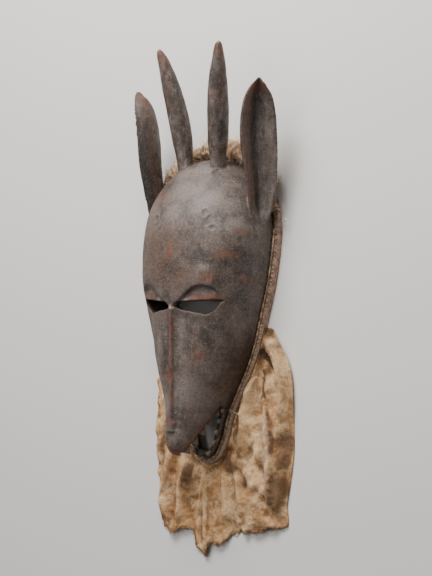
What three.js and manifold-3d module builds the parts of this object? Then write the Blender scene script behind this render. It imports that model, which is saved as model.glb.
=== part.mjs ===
// A carved wooden face mask with horns, ears and toothed jaws, laid on its back on the bound edge of its rim.
//
// x runs across the face, y from the chin to the crown, and z away from the floor, through the nose.
// All sizes are in millimetres. The rim of the wood is flat, and lies RIM_LIFT above the floor.

import * as THREE from "three";
import { mergeVertices } from "three/addons/utils/BufferGeometryUtils.js";
import Module from "manifold-3d";

const wasm = await Module();
wasm.setup();

// Driving sizes of the wooden face
const CHIN_Y = 6;
const CROWN_Y = 343;
const WIDEST_Y = 256; // where the face is broadest
const HALF_WIDTH = 77.3;
const FOREHEAD_Y = 222; // where the forehead starts to fall back to the crown
const FOREHEAD_DEPTH = 83; // rim plane to forehead
const WALL = 9;
const CROWN_POWER = 2.2; // fullness of the forehead's fall to the crown
const RIM_LIFT = 9.2;
const TOUCH_GAP = 0.3; // between pieces that touch

// Half width of the face below its broadest line, and the depth of its midline, as (y, size) pairs
const CHEEK_WIDTH = profile([
  [CHIN_Y, 2],
  [8.5, 7.5],
  [14, 13.8],
  [31, 21.2],
  [50, 25.7],
  [68, 31.8],
  [84, 38.9],
  [102, 47],
  [121, 54.5],
  [139, 59.5],
  [157, 63],
  [176, 67],
  [194, 70.9],
  [212, 73.6],
  [235, 76.2],
  [WIDEST_Y, HALF_WIDTH],
]);
const MIDLINE_DEPTH = profile([
  [CHIN_Y, 12],
  [7.5, 30],
  [9, 46],
  [11, 56],
  [15, 62],
  [22, 65],
  [42, 65.5],
  [100, 69],
  [176, 78],
  [200, 82],
  [FOREHEAD_Y, FOREHEAD_DEPTH],
]);
// How square a cross section is: 2 is an ellipse
const SQUARENESS = profile([
  [0, 2.6],
  [25, 2.6],
  [70, 2.2],
  [165, 2.5],
  [200, 2.5],
  [260, 2.3],
  [CROWN_Y, 2.2],
]);

// The brow: an arch over each eye. The lid under it is cut back, and comes forward again to the eye slit
const BROW_TOP = { x: 38, y: 195.8 };
const BROW_DROP = 22;
const BROW_SPREAD = 40; // from the top of an arch to its foot
const BROW_EDGE = 1.6; // run of the cut face below the arch
const LID = { recess: 5.5, atSlit: 1.5, bottom: 172, top: 178 };
// The cheeks are cut back under the eyes, fully from the top height down and not at all below the foot
const CHEEK = { recess: 4.5, top: 165, foot: 95 };
const RECESS_SIDE = { from: 44, to: 58 }; // where the cut fades out towards the temple
const BRIDGE = { from: 1, to: 9, share: 0.35 }; // the cut is shallower between the eyes

const NOSE = { top: 173, tip: 36, halfWidth: 3.2, height: 3.4, tipFlare: 6 };
// One eye slit, as (x, y) corners from its inner end along the top and back along the bottom
const EYE_SLIT = [
  [4.2, 172.2],
  [8, 177],
  [20, 177.8],
  [56, 181],
  [45, 168.6],
  [38, 164.4],
  [23.5, 166.6],
  [10, 169.2],
];
const EYE_FLARE = 3; // extra opening towards the nose on the inside
const EYE_DEPTHS = { inside: 20, flareEnd: 62, straight: 74, outside: 100 };
const MOUTH = { cornerY: 67, cornerZ: 17, tipY: 11, tipZ: 58, lowerLip: 6, cornerRun: 22 };
const TOOTH = {
  halfWidth: 9,
  root: 4,
  pitch: 13,
  inset: 3,
  upper: 13.5,
  lower: 10.5,
  flatness: 0.5,
  sides: 4,
  smallest: 0.8, // size of the last tooth at each corner, as a share
};
// The hollow for the wearer's face. The wall is thinner on the muzzle, below the thick height
const HOLLOW = {
  bottom: 16,
  top: CROWN_Y - 11,
  squareness: 0.9,
  sideThin: 0.85,
  frontThin: 0.8,
  thinY: 60,
  thickY: 140,
};

const HORN = {
  root: [22.8, 318, 33],
  middle: [24.6, 389.5, 42],
  tip: [42.4, 461, 69],
};
const HORN_RADIUS = profile([
  [0, 8.6],
  [0.14, 9],
  [0.3, 11.4],
  [0.5, 12],
  [0.68, 10.6],
  [0.84, 7.8],
  [0.95, 5],
  [0.985, 3.2],
  [1, 1.4],
]);

// The two edges of an ear's hollow, from its foot on the side of the face to its tip
const EAR_FRONT_EDGE = [
  [72, 262, 29],
  [73, 276, 36],
  [74.5, 305, 46.5],
  [75, 335, 57],
  [74.8, 363, 62.5],
  [77, 385, 64.5],
  [80.5, 401, 63.5],
  [85, 413, 59],
  [88, 420.5, 53.5],
];
const EAR_BACK_EDGE = [
  [77.5, 263, 18],
  [85.5, 278, 17],
  [91.2, 305, 17],
  [94.3, 335, 21],
  [94.8, 363, 25],
  [95.8, 383, 30],
  [95.8, 400, 37.5],
  [92.5, 413, 47],
  [88.6, 420.5, 51.5],
];
const EAR_WIDTH = 45;
const EAR_DEPTH = 23; // from the plane of the two edges to the back
const EAR_HOLLOW = 16;

// The rolled hide that binds the rim, and the thin cord sewn along it
const BINDING = { width: 4.4, height: RIM_LIFT - TOUCH_GAP, offset: 2.6, crownGap: 67 };
const CORD = { radius: 1, offset: 1.7, aboveRim: 1.3, sides: 6, endY: 262 };
const BUNCH = { radius: 11.5, offset: 13, halfSpan: 64 };

// Outline of the loose cloth as it lies, from its left end on the rim, round the chin, to its right end
const CLOTH_OUTLINE = [
  [-70, 126],
  [-78, 108],
  [-80, 90],
  [-79, 66],
  [-81, 42],
  [-80, 20],
  [-76, -11],
  [-69, -32],
  [-66, -58],
  [-66, -72],
  [-46, -82],
  [-23, -77],
  [-13, -95],
  [1.5, -104.5],
  [7.5, -87],
  [20.5, -91],
  [38, -77],
  [63, -71],
  [82, -70],
  [113, -58],
  [110, -38],
  [113, -20],
  [117.5, 12],
  [115, 39],
  [110, 56],
  [113.5, 82],
  [108.5, 107],
  [99.5, 124],
  [88, 141],
  [79, 153],
];
const CLOTH = { thickness: 2.2, leftEnd: 126, rightEnd: 156, folds: 7.5, foldHeight: 9, rollHeight: 13 };

const SECTION_STEPS = 44; // columns round the face
const RIM_STEPS = 50; // rings of what follows the rim
const CLOTH_STEPS = { along: 46, crowding: 1.3, across: 7 };
const CLOTH_EDGE = 0.6; // height of the two edges of the cloth, as a share
const HIDE_RED = 0x5d3c2c;
const CLOTH_TAN = 0xa98a66;
const WOOD_DARK = 0x4a4340;
const CORD_PALE = 0xb09a78;

// A smooth function through (position, value) pairs
function profile(pairs) {
  const slope = pairs.map((_, i) => {
    const [a, b] = [pairs[Math.max(i - 1, 0)], pairs[Math.min(i + 1, pairs.length - 1)]];
    return (b[1] - a[1]) / (b[0] - a[0]);
  });
  return (at) => {
    if (at <= pairs[0][0]) return pairs[0][1];
    if (at >= pairs[pairs.length - 1][0]) return pairs[pairs.length - 1][1];
    const i = pairs.findIndex((p) => p[0] > at) - 1;
    const [x0, v0] = pairs[i];
    const [x1, v1] = pairs[i + 1];
    const run = x1 - x0;
    const t = (at - x0) / run;
    const rise = t * t * (3 - 2 * t);
    return (
      v0 + (v1 - v0) * rise + run * (slope[i] * t * (1 - t) ** 2 - slope[i + 1] * t * t * (1 - t))
    );
  };
}

const mix = (a, b, t) => a + (b - a) * t;
const between = (v, low, high) => Math.min(1, Math.max(0, (v - low) / (high - low)));
const smooth = (v, low, high) => {
  const t = between(v, low, high);
  return t * t * (3 - 2 * t);
};
const range = (count, from = 0, to = 1) =>
  Array.from({ length: count + 1 }, (_, i) => mix(from, to, i / count));

// Half width of the face at a height
function halfWidth(y) {
  if (y <= WIDEST_Y) return CHEEK_WIDTH(y);
  const t = (y - WIDEST_Y) / (CROWN_Y - WIDEST_Y);
  return HALF_WIDTH * Math.sqrt(Math.max(0, 1 - t * t));
}

// Depth of the midline at a height
function midlineDepth(y) {
  if (y <= FOREHEAD_Y) return MIDLINE_DEPTH(y);
  const t = (y - FOREHEAD_Y) / (CROWN_Y - FOREHEAD_Y);
  return FOREHEAD_DEPTH * Math.max(0, 1 - t ** CROWN_POWER) ** (1 / CROWN_POWER);
}

function browLine(x) {
  const away = Math.min(1, Math.abs(Math.abs(x) - BROW_TOP.x) / BROW_SPREAD);
  return BROW_TOP.y - (BROW_DROP / 2) * (1 - Math.cos(Math.PI * away));
}

// How far the face is cut back under the brow
function recess(x, y) {
  const temple = 1 - smooth(Math.abs(x), RECESS_SIDE.from, RECESS_SIDE.to);
  const across = smooth(Math.abs(x), BRIDGE.from, BRIDGE.to) * temple;
  const lid = mix(LID.atSlit, LID.recess, between(y, LID.top, browLine(x)));
  const cheek = CHEEK.recess * smooth(y, CHEEK.foot, CHEEK.top);
  const cut = mix(cheek, lid, smooth(y, LID.bottom, LID.top));
  return mix(BRIDGE.share, 1, across) * cut * temple;
}

// A point of the face's outside, at a height and an angle round its section
function facePoint(y, angle, below) {
  const power = 2 / SQUARENESS(y);
  const across = Math.sign(Math.cos(angle)) * Math.abs(Math.cos(angle)) ** power;
  const forward = Math.max(0, Math.sin(angle)) ** power;
  const x = halfWidth(y) * across;
  const back = below ? recess(x, y) : 0;
  const inward = back * Math.min(1, forward * 3);
  return new THREE.Vector3(x - inward * across * 0.6, y, Math.max(0, midlineDepth(y) * forward - inward));
}

// A closed body through rings of points
function loft(rings, { capStart = true, capEnd = true } = {}) {
  const count = rings[0].length;
  const positions = rings.flat().flatMap((p) => [p.x, p.y, p.z]);
  const faces = [];
  rings.slice(1).forEach((_, r) => {
    for (let i = 0; i < count; i++) {
      const [a, b] = [r * count + i, r * count + ((i + 1) % count)];
      const [c, d] = [a + count, b + count];
      faces.push([a, b, d], [a, d, c]);
    }
  });
  const last = (rings.length - 1) * count;
  for (let i = 1; i + 1 < count; i++) {
    if (capStart) faces.push([0, i + 1, i]);
    if (capEnd) faces.push([last, last + i, last + i + 1]);
  }
  const geometry = new THREE.BufferGeometry();
  geometry.setAttribute("position", new THREE.Float32BufferAttribute(positions, 3));
  geometry.setIndex(faces.flat());
  return geometry;
}

// A solid for cutting and joining, from a closed geometry
function solid(geometry) {
  const bare = new THREE.BufferGeometry();
  bare.setAttribute("position", geometry.getAttribute("position"));
  bare.setIndex(geometry.getIndex());
  const merged = mergeVertices(bare, 1e-3);
  const index = merged.getIndex() ? [...merged.getIndex().array] : [];
  const corners = [];
  for (let i = 0; i < index.length; i += 3) {
    const [a, b, c] = index.slice(i, i + 3);
    if (a !== b && b !== c && c !== a) corners.push(a, b, c);
  }
  const made = new wasm.Manifold(
    new wasm.Mesh({
      numProp: 3,
      vertProperties: merged.getAttribute("position").array,
      triVerts: new Uint32Array(corners),
    }),
  );
  return made.volume() < 0 ? solid(flipped(geometry)) : made;
}

function flipped(geometry) {
  const turned = geometry.clone();
  if (!turned.getIndex()) turned.setIndex([...Array(turned.getAttribute("position").count).keys()]);
  const index = turned.getIndex().array;
  for (let i = 0; i < index.length; i += 3) [index[i], index[i + 1]] = [index[i + 1], index[i]];
  return turned;
}

function geometryOf(made) {
  const mesh = made.getMesh();
  const geometry = new THREE.BufferGeometry();
  geometry.setAttribute("position", new THREE.Float32BufferAttribute(mesh.vertProperties, 3));
  geometry.setIndex([...mesh.triVerts]);
  geometry.computeVertexNormals();
  return geometry;
}

// The outside of the face as one closed body: rows follow the brow, where the surface steps back
function faceBlock() {
  const angles = range(SECTION_STEPS, 0, Math.PI);
  const browAt = (angle) => browLine(facePoint(BROW_TOP.y - BROW_DROP / 2, angle, false).x);
  const lower = [
    0, 0.006, 0.02, 0.05, 0.09, 0.15, 0.22, 0.31, 0.4, 0.5, 0.6, 0.7, 0.78, 0.83, 0.87, 0.9, 0.93, 0.96,
  ];
  const upper = [0.06, 0.14, 0.24, 0.35, 0.46, 0.57, 0.67, 0.76, 0.84, 0.9, 0.945, 0.975, 0.993, 1];
  const row = (height, below) => angles.map((angle) => facePoint(height(angle), angle, below));
  return solid(
    loft(
      [
        ...lower.map((t) => row((angle) => mix(CHIN_Y, browAt(angle) - BROW_EDGE, t), true)),
        row((angle) => browAt(angle) - BROW_EDGE, true),
        row(browAt, false),
        ...upper.map((t) => row((angle) => mix(browAt(angle), CROWN_Y, t), false)),
      ],
      { capEnd: false },
    ),
  );
}

// The hollow behind the face, open at the back
function faceHollow() {
  const angles = range(16, 0, Math.PI);
  const heights = range(16, HOLLOW.bottom, HOLLOW.top);
  return solid(
    loft(
      heights.map((y) => {
        const thick = smooth(y, HOLLOW.thinY, HOLLOW.thickY);
        const wide = Math.max(3, halfWidth(y) - WALL * mix(HOLLOW.sideThin, 1, thick));
        const deep = Math.max(5, midlineDepth(y) - CHEEK.recess - WALL * mix(HOLLOW.frontThin, 1, thick));
        const arch = angles.map((angle) => {
          const across = Math.sign(Math.cos(angle)) * Math.abs(Math.cos(angle)) ** HOLLOW.squareness;
          return new THREE.Vector3(wide * across, y, deep * Math.max(0, Math.sin(angle)) ** HOLLOW.squareness);
        });
        return [new THREE.Vector3(wide, y, -2), ...arch, new THREE.Vector3(-wide, y, -2)];
      }),
    ),
  );
}

// The thin ridge down the nose, a little broader where it ends above the muzzle
function noseRidge() {
  const heights = range(16, NOSE.tip, NOSE.top);
  return solid(
    loft(
      heights.map((y) => {
        const flare = 1 - smooth(y, NOSE.tip + 2, NOSE.tip + 16);
        const wide = mix(NOSE.halfWidth, NOSE.tipFlare, flare);
        const base = facePoint(y, Math.PI / 2, true).z;
        const top = base + NOSE.height;
        return [
          [wide, base - 5],
          [wide, base - 0.6],
          [wide * 0.45, top],
          [-wide * 0.45, top],
          [-wide, base - 0.6],
          [-wide, base - 5],
        ].map(([x, z]) => new THREE.Vector3(x, y, z));
      }),
    ),
  );
}

// The slit of one eye, cut through the wall and opened out towards the nose on the inside
function eyeSlit(side) {
  const ring = (z, towardsNose) =>
    EYE_SLIT.map(
      ([x, y]) => new THREE.Vector3(side * (x - towardsNose * (1 - smooth(x, 8, 26))), y, z),
    );
  const { inside, flareEnd, straight, outside } = EYE_DEPTHS;
  return solid(
    loft([ring(inside, EYE_FLARE), ring(flareEnd, EYE_FLARE), ring(straight, 0), ring(outside, 0)]),
  );
}

const upperLip = (y) =>
  mix(MOUTH.cornerZ, MOUTH.tipZ, (MOUTH.cornerY - y) / (MOUTH.cornerY - MOUTH.tipY));

// The gape between the jaws: a wedge right across the muzzle
function mouthGape() {
  const beyond = -20; // past the chin
  const width = 120; // past both cheeks
  const { cornerY, cornerZ, lowerLip, cornerRun } = MOUTH;
  const wedge = new THREE.Shape();
  wedge.moveTo(cornerY, cornerZ);
  wedge.lineTo(beyond, upperLip(beyond));
  wedge.lineTo(beyond, lowerLip);
  wedge.lineTo(cornerY - cornerRun, lowerLip);
  wedge.quadraticCurveTo(cornerY - cornerRun / 4, lowerLip + 1, cornerY, cornerZ);
  const cutter = new THREE.ExtrudeGeometry(wedge, { depth: width, bevelEnabled: false, curveSegments: 4 });
  const alongX = new THREE.Matrix4().makeBasis(
    new THREE.Vector3(0, 1, 0),
    new THREE.Vector3(0, 0, 1),
    new THREE.Vector3(1, 0, 0),
  );
  return solid(cutter.applyMatrix4(alongX).translate(-width / 2, 0, 0));
}

// Where a lip crosses the middle of the wall, from the mouth's left corner round the front to its right corner
function lipCurve(lipHeight) {
  const half = [];
  for (const y of range(20, MOUTH.cornerY - 6, 0)) {
    const z = lipHeight(y);
    const deep = midlineDepth(y) - TOOTH.inset;
    const wide = halfWidth(y) - TOOTH.inset;
    if (z >= deep || wide <= 1) break;
    const x = wide * (1 - (z / deep) ** SQUARENESS(y)) ** (1 / SQUARENESS(y));
    half.push(new THREE.Vector3(x, y, z));
  }
  const mirrored = half.map((p) => new THREE.Vector3(-p.x, p.y, p.z)).reverse();
  return new THREE.CatmullRomCurve3([...half, ...mirrored], false, "centripetal");
}

// Teeth along a lip, each a flat pyramid with its root in the wood
function teeth(lipHeight, point, height) {
  const lip = lipCurve(lipHeight);
  const count = Math.round(lip.getLength() / TOOTH.pitch);
  return range(count).map((t) => {
    const at = lip.getPointAt(t);
    const along = lip.getTangentAt(t);
    const across = new THREE.Vector3().crossVectors(along, point).normalize();
    const size = mix(TOOTH.smallest, 1, Math.sin(Math.PI * t));
    const tooth = new THREE.ConeGeometry(TOOTH.halfWidth * size, (height + TOOTH.root) * size, TOOTH.sides);
    tooth.scale(1, 1, TOOTH.flatness);
    tooth.applyMatrix4(new THREE.Matrix4().makeBasis(along, point, across));
    const lift = point.clone().multiplyScalar((height - TOOTH.root) * 0.5 * size);
    return solid(tooth.translate(at.x + lift.x, at.y + lift.y, at.z + lift.z));
  });
}

// Shares of the way along the rim, closer together round the narrow chin
function rimSteps(count, crowding = 1.7) {
  return range(count, -1, 1).map((s) => 0.5 + 0.5 * Math.sign(s) * Math.abs(s) ** crowding);
}

// Rings square to a curve, each shaped by a function of the distance along it
function ringsAlong(curve, steps, ringAt) {
  return steps.map((t) => {
    const along = curve.getTangentAt(t);
    const sideways = new THREE.Vector3(0, 0, 1).cross(along).normalize();
    const forward = new THREE.Vector3().crossVectors(along, sideways);
    const centre = curve.getPointAt(t);
    return ringAt(t, centre).map(([u, v]) =>
      centre.clone().addScaledVector(sideways, u).addScaledVector(forward, v),
    );
  });
}

const circle = (sides, radius, squash = 1) =>
  range(sides - 1, 0, 2 * Math.PI * (1 - 1 / sides)).map((a) => [
    radius * Math.cos(a),
    radius * squash * Math.sin(a),
  ]);

function horn(side) {
  const axis = new THREE.QuadraticBezierCurve3(
    ...[HORN.root, HORN.middle, HORN.tip].map(([x, y, z]) => new THREE.Vector3(side * x, y, z)),
  );
  return solid(loft(ringsAlong(axis, [...range(11, 0, 0.95), 0.985, 1], (t) => circle(10, HORN_RADIUS(t)))));
}

// One ear: a leaf with a deep hollow, which runs down into the side of the face
function ear(side) {
  const edge = (points) =>
    new THREE.CatmullRomCurve3(points.map(([x, y, z]) => new THREE.Vector3(side * x, y, z)));
  const [front, back] = [edge(EAR_FRONT_EDGE), edge(EAR_BACK_EDGE)];
  // Places across the ear, as (share of the way from edge to edge, share of the depth)
  const hollow = [
    [0.1, 0.16],
    [0.34, 0.66],
    [0.53, 1],
    [0.7, 0.72],
    [0.89, 0.24],
  ];
  const outside = [
    [1.03, 0.3],
    [0.9, 0.75],
    [0.62, 1],
    [0.32, 0.95],
    [0.1, 0.6],
    [0.01, 0.2],
  ];
  return solid(
    loft(
      range(15).map((t) => {
        const [a, b] = [front.getPoint(t), back.getPoint(t)];
        const chord = b.clone().sub(a);
        const along = front.getTangent(t).add(back.getTangent(t));
        const behind = new THREE.Vector3().crossVectors(along, chord).normalize();
        behind.multiplyScalar(behind.z > 0 ? -1 : 1);
        const full = Math.sqrt(Math.min(1, chord.length() / EAR_WIDTH));
        const scoop = smooth(t, 0, 0.2);
        const place = ([u, v], deep) => a.clone().addScaledVector(chord, u).addScaledVector(behind, v * deep);
        return [
          a,
          ...hollow.map((p) => place(p, full * scoop * EAR_HOLLOW)),
          b,
          ...outside.map((p) => place(p, full * EAR_DEPTH)),
        ];
      }),
    ),
  );
}

function woodenFace() {
  const upwards = new THREE.Vector3(0, 0, 1);
  const slope = new THREE.Vector3(0, upperLip(0) - upperLip(1), -1).normalize();
  const downwards = new THREE.Vector3(0, -slope.y, slope.z).normalize();
  const cuts = [faceHollow(), eyeSlit(1), eyeSlit(-1), mouthGape()];
  const added = [noseRidge(), horn(1), horn(-1), ear(1), ear(-1)];
  const block = faceBlock();
  let made = block;
  for (const piece of added) made = made.add(piece);
  for (const cut of cuts) made = made.subtract(cut);
  const bite = [
    ...teeth(upperLip, downwards, TOOTH.upper),
    ...teeth(() => MOUTH.lowerLip, upwards, TOOTH.lower),
  ];
  for (const tooth of bite) made = made.add(tooth.intersect(block));
  return geometryOf(made);
}

// The rim's outline, moved outwards, from one height on the left round the chin to one on the right
function rimCurve(outwards, leftY, rightY, z) {
  const side = (sign, top) =>
    range(26, 1, 0).map((t) => {
      const y = mix(CHIN_Y, top, t ** 1.6);
      return new THREE.Vector2(sign * halfWidth(y), y);
    });
  const outline = [...side(-1, leftY), ...side(1, rightY).reverse().slice(1)];
  const curve = new THREE.SplineCurve(outline);
  const points = range(220).map((t) => {
    const at = curve.getPoint(t);
    const along = curve.getTangent(t);
    return new THREE.Vector3(at.x + along.y * outwards, at.y - along.x * outwards, z);
  });
  const moved = new THREE.CatmullRomCurve3(points, false, "centripetal");
  moved.arcLengthDivisions = 900;
  return moved;
}

function rimBinding() {
  const { width, height, offset, crownGap } = BINDING;
  const end = WIDEST_Y + (CROWN_Y - WIDEST_Y) * Math.sqrt(1 - (crownGap / HALF_WIDTH) ** 2);
  const section = [
    [-0.45, -0.5],
    [0.45, -0.5],
    [1, -0.15],
    [0.9, 0.25],
    [0.45, 0.5],
    [-0.45, 0.5],
    [-0.9, 0.25],
    [-1, -0.15],
  ].map(([u, v]) => [u * width, v * height]);
  const path = rimCurve(offset, end, end, height / 2);
  return geometryOf(solid(loft(ringsAlong(path, rimSteps(RIM_STEPS), () => section))));
}

function edgeCord() {
  const path = rimCurve(CORD.offset, CORD.endY, CORD.endY, RIM_LIFT + CORD.aboveRim);
  return geometryOf(solid(loft(ringsAlong(path, rimSteps(RIM_STEPS), () => circle(CORD.sides, CORD.radius)))));
}

// The frayed bunch of hide gathered behind the horns, round the outside of the crown
function crownBunch() {
  const points = range(14, -BUNCH.halfSpan, BUNCH.halfSpan).map((x) => {
    const y = WIDEST_Y + (CROWN_Y - WIDEST_Y) * Math.sqrt(1 - (x / HALF_WIDTH) ** 2);
    const out = new THREE.Vector2(x / HALF_WIDTH ** 2, (y - WIDEST_Y) / (CROWN_Y - WIDEST_Y) ** 2);
    out.normalize().multiplyScalar(BUNCH.offset);
    return new THREE.Vector3(x + out.x, y + out.y, BUNCH.radius);
  });
  const path = new THREE.CatmullRomCurve3(points);
  const lumps = (t) => 0.9 + 0.1 * Math.sin(23 * t) * Math.cos(9 * t);
  const rings = ringsAlong(path, range(18), (t) =>
    circle(9, BUNCH.radius * lumps(t) * Math.sqrt(Math.sin(Math.PI * mix(0.12, 0.88, t)))),
  );
  return geometryOf(solid(loft(rings)));
}

// Height of the cloth above the floor: long soft folds that fan out from the rim, and a fuller roll
// along the edge beside the right cheek. s runs along the rim, t from the rim out to the edge
function clothHeight(s, t) {
  const folds = 0.5 + 0.5 * Math.cos(2 * Math.PI * CLOTH.folds * s);
  const fanned = CLOTH.foldHeight * folds * smooth(t, 0, 0.3) * (1 - 0.4 * smooth(t, 0.6, 1));
  const roll = smooth(s, 0.62, 0.76) * Math.exp(-(((t - 0.8) / 0.16) ** 2));
  return CLOTH.thickness + fanned * (1 - 0.7 * smooth(s, 0.66, 0.8)) + CLOTH.rollHeight * roll;
}

function neckCloth() {
  const inside = rimCurve(
    BINDING.offset + BINDING.width + 2 * TOUCH_GAP,
    CLOTH.leftEnd,
    CLOTH.rightEnd,
    0,
  );
  const outside = new THREE.CatmullRomCurve3(
    CLOTH_OUTLINE.map(([x, y]) => new THREE.Vector3(x, y, 0)),
    false,
    "centripetal",
  );
  const steps = range(CLOTH_STEPS.across);
  return geometryOf(
    solid(
      loft(
        rimSteps(CLOTH_STEPS.along, CLOTH_STEPS.crowding).map((s) => {
          const [a, b] = [inside.getPointAt(s), outside.getPointAt(s)];
          const floor = steps.map((t) => a.clone().lerp(b, t));
          const top = floor.map((p, i) => {
            const edge = i === 0 || i === steps.length - 1 ? CLOTH_EDGE : 1;
            return new THREE.Vector3(p.x, p.y, edge * clothHeight(s, steps[i]));
          });
          return [...floor, ...top.reverse()];
        }),
      ),
    ),
  );
}

function piece(name, geometry, color, roughness) {
  const mesh = new THREE.Mesh(
    geometry,
    new THREE.MeshStandardMaterial({ color, roughness, metalness: 0 }),
  );
  mesh.name = name;
  return mesh;
}

const mask = new THREE.Group();
const face = piece("carved_face", woodenFace(), WOOD_DARK, 0.6);
face.position.z = RIM_LIFT;
mask.add(face);
mask.add(piece("rim_binding", rimBinding(), HIDE_RED, 0.8));
mask.add(piece("edge_cord", edgeCord(), CORD_PALE, 0.9));
mask.add(piece("crown_bunch", crownBunch(), CLOTH_TAN, 0.95));
mask.add(piece("neck_cloth", neckCloth(), CLOTH_TAN, 0.95));

// The origin is on the floor, under the middle of the whole
const box = new THREE.Box3().setFromObject(mask);
const middle = box.getCenter(new THREE.Vector3());
for (const part of mask.children) {
  part.position.x -= middle.x;
  part.position.y -= middle.y;
  part.position.z -= box.min.z;
}

export default mask;
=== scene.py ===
import math

import bmesh
import bpy
import numpy as np
from bpy.props import FloatProperty, FloatVectorProperty, IntProperty, PointerProperty
from bpy.types import Operator, Panel, PropertyGroup
from mathutils import Matrix, Vector


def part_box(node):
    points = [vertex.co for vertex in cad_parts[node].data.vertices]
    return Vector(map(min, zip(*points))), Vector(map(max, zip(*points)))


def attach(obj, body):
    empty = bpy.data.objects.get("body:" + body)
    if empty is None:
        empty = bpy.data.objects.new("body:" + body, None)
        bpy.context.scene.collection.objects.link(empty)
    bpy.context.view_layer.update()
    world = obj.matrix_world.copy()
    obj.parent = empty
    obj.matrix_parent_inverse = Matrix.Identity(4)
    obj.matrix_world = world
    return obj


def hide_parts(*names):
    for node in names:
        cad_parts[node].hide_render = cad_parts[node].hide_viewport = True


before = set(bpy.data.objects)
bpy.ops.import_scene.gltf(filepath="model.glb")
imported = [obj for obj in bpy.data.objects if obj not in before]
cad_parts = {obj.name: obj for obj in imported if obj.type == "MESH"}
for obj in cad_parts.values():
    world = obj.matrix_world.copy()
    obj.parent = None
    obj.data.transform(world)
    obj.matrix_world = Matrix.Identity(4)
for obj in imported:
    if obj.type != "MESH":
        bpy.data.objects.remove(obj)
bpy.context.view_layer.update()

bl_info = {
    "name": "Carved mask with horns",
    "version": (1, 0, 0),
    "blender": (4, 5, 0),
    "location": "View3D > Sidebar > Mask",
    "description": "Builds a worn wooden mask with its bound rim, crown bunch and neck cloth",
    "category": "Object",
}

# Driving sizes of the wood, repeated from the CAD source in metres
CHIN_Y = 0.006
CROWN_Y = 0.343
WIDEST_Y = 0.256
HALF_WIDTH = 0.0773
FOREHEAD_Y = 0.222
FOREHEAD_DEPTH = 0.083
CROWN_POWER = 2.2
WALL = 0.009
RIM_LIFT = 0.0092
TOUCH_GAP = 0.0003
FLOOR = -RIM_LIFT

_low, _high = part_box("carved_face")
FACE_ORIGIN = Vector(((_low.x + _high.x) / 2, _low.y - CHIN_Y, _low.z))

CHEEK_PLACES = [
    (CHIN_Y, 0.002), (0.0085, 0.0075), (0.014, 0.0138), (0.031, 0.0212), (0.05, 0.0257),
    (0.068, 0.0318), (0.084, 0.0389), (0.102, 0.047), (0.121, 0.0545), (0.139, 0.0595),
    (0.157, 0.063), (0.176, 0.067), (0.194, 0.0709), (0.212, 0.0736), (0.235, 0.0762),
    (WIDEST_Y, HALF_WIDTH),
]
MIDLINE_PLACES = [
    (CHIN_Y, 0.012), (0.0075, 0.03), (0.009, 0.046), (0.011, 0.056), (0.015, 0.062),
    (0.022, 0.065), (0.042, 0.0655), (0.1, 0.069), (0.176, 0.078), (0.2, 0.082),
    (FOREHEAD_Y, FOREHEAD_DEPTH),
]
SQUARENESS_PLACES = [
    (0, 2.6), (0.025, 2.6), (0.07, 2.2), (0.165, 2.5), (0.2, 2.5), (0.26, 2.3), (CROWN_Y, 2.2),
]
BROW = {"x": 0.038, "y": 0.1958, "drop": 0.022, "spread": 0.04, "edge": 0.0028}
LID = {"recess": 0.0055, "slit": 0.0015, "bottom": 0.172, "top": 0.178}
CHEEK = {"recess": 0.0045, "top": 0.165, "foot": 0.095}
TEMPLE = (0.044, 0.058)
BRIDGE = {"from": 0.001, "to": 0.009, "share": 0.35}
NOSE = {
    "top": 0.173, "tip": 0.036, "half": 0.0032, "height": 0.0034, "root": 0.005,
    "flare": 0.006, "flare_from": 0.002, "flare_to": 0.016,
}
EYE_SLIT = [
    (0.0042, 0.1722), (0.008, 0.177), (0.02, 0.1778), (0.056, 0.181),
    (0.045, 0.1686), (0.038, 0.1644), (0.0235, 0.1666), (0.01, 0.1692),
]
EYE_FLARE = {"shift": 0.003, "from": 0.008, "to": 0.026}
EYE_DEPTHS = [(0.02, 1), (0.062, 1), (0.074, 0), (0.1, 0)]
MOUTH = {"corner_y": 0.067, "corner_z": 0.017, "tip_y": 0.011, "tip_z": 0.058, "lower": 0.006, "run": 0.022}
TOOTH = {
    "half": 0.009, "root": 0.004, "pitch": 0.013, "inset": 0.003, "upper": 0.0135, "lower": 0.0105,
    "flatness": 0.5, "smallest": 0.8, "waist": 0.55, "tip": 0.06,
}
HOLLOW = {
    "bottom": 0.016, "square": 0.9, "side": 0.85, "front": 0.8, "thin_y": 0.06, "thick_y": 0.14,
    "narrowest": 0.003, "shallowest": 0.005, "below": 0.002,
}
HOLLOW_TOP = CROWN_Y - 0.011
HORN = [(0.0228, 0.318, 0.033), (0.0246, 0.3895, 0.042), (0.0424, 0.461, 0.069)]
HORN_PLACES = [
    (0, 0.0086), (0.14, 0.009), (0.3, 0.0114), (0.5, 0.012), (0.68, 0.0106),
    (0.84, 0.0078), (0.95, 0.005), (0.985, 0.0032), (1, 0.0014),
]
EAR_FRONT_EDGE = [
    (0.072, 0.262, 0.029), (0.073, 0.276, 0.036), (0.0745, 0.305, 0.0465), (0.075, 0.335, 0.057),
    (0.0748, 0.363, 0.0625), (0.077, 0.385, 0.0645), (0.0805, 0.401, 0.0635), (0.085, 0.413, 0.059),
    (0.088, 0.4205, 0.0535),
]
EAR_BACK_EDGE = [
    (0.0775, 0.263, 0.018), (0.0855, 0.278, 0.017), (0.0912, 0.305, 0.017), (0.0943, 0.335, 0.021),
    (0.0948, 0.363, 0.025), (0.0958, 0.383, 0.03), (0.0958, 0.4, 0.0375), (0.0925, 0.413, 0.047),
    (0.0886, 0.4205, 0.0515),
]
EAR_WIDTH = 0.045
EAR_DEPTH = 0.023
EAR_HOLLOW = 0.016
EAR_INNER = [(0.1, 0.16), (0.34, 0.66), (0.53, 1), (0.7, 0.72), (0.89, 0.24)]
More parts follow.
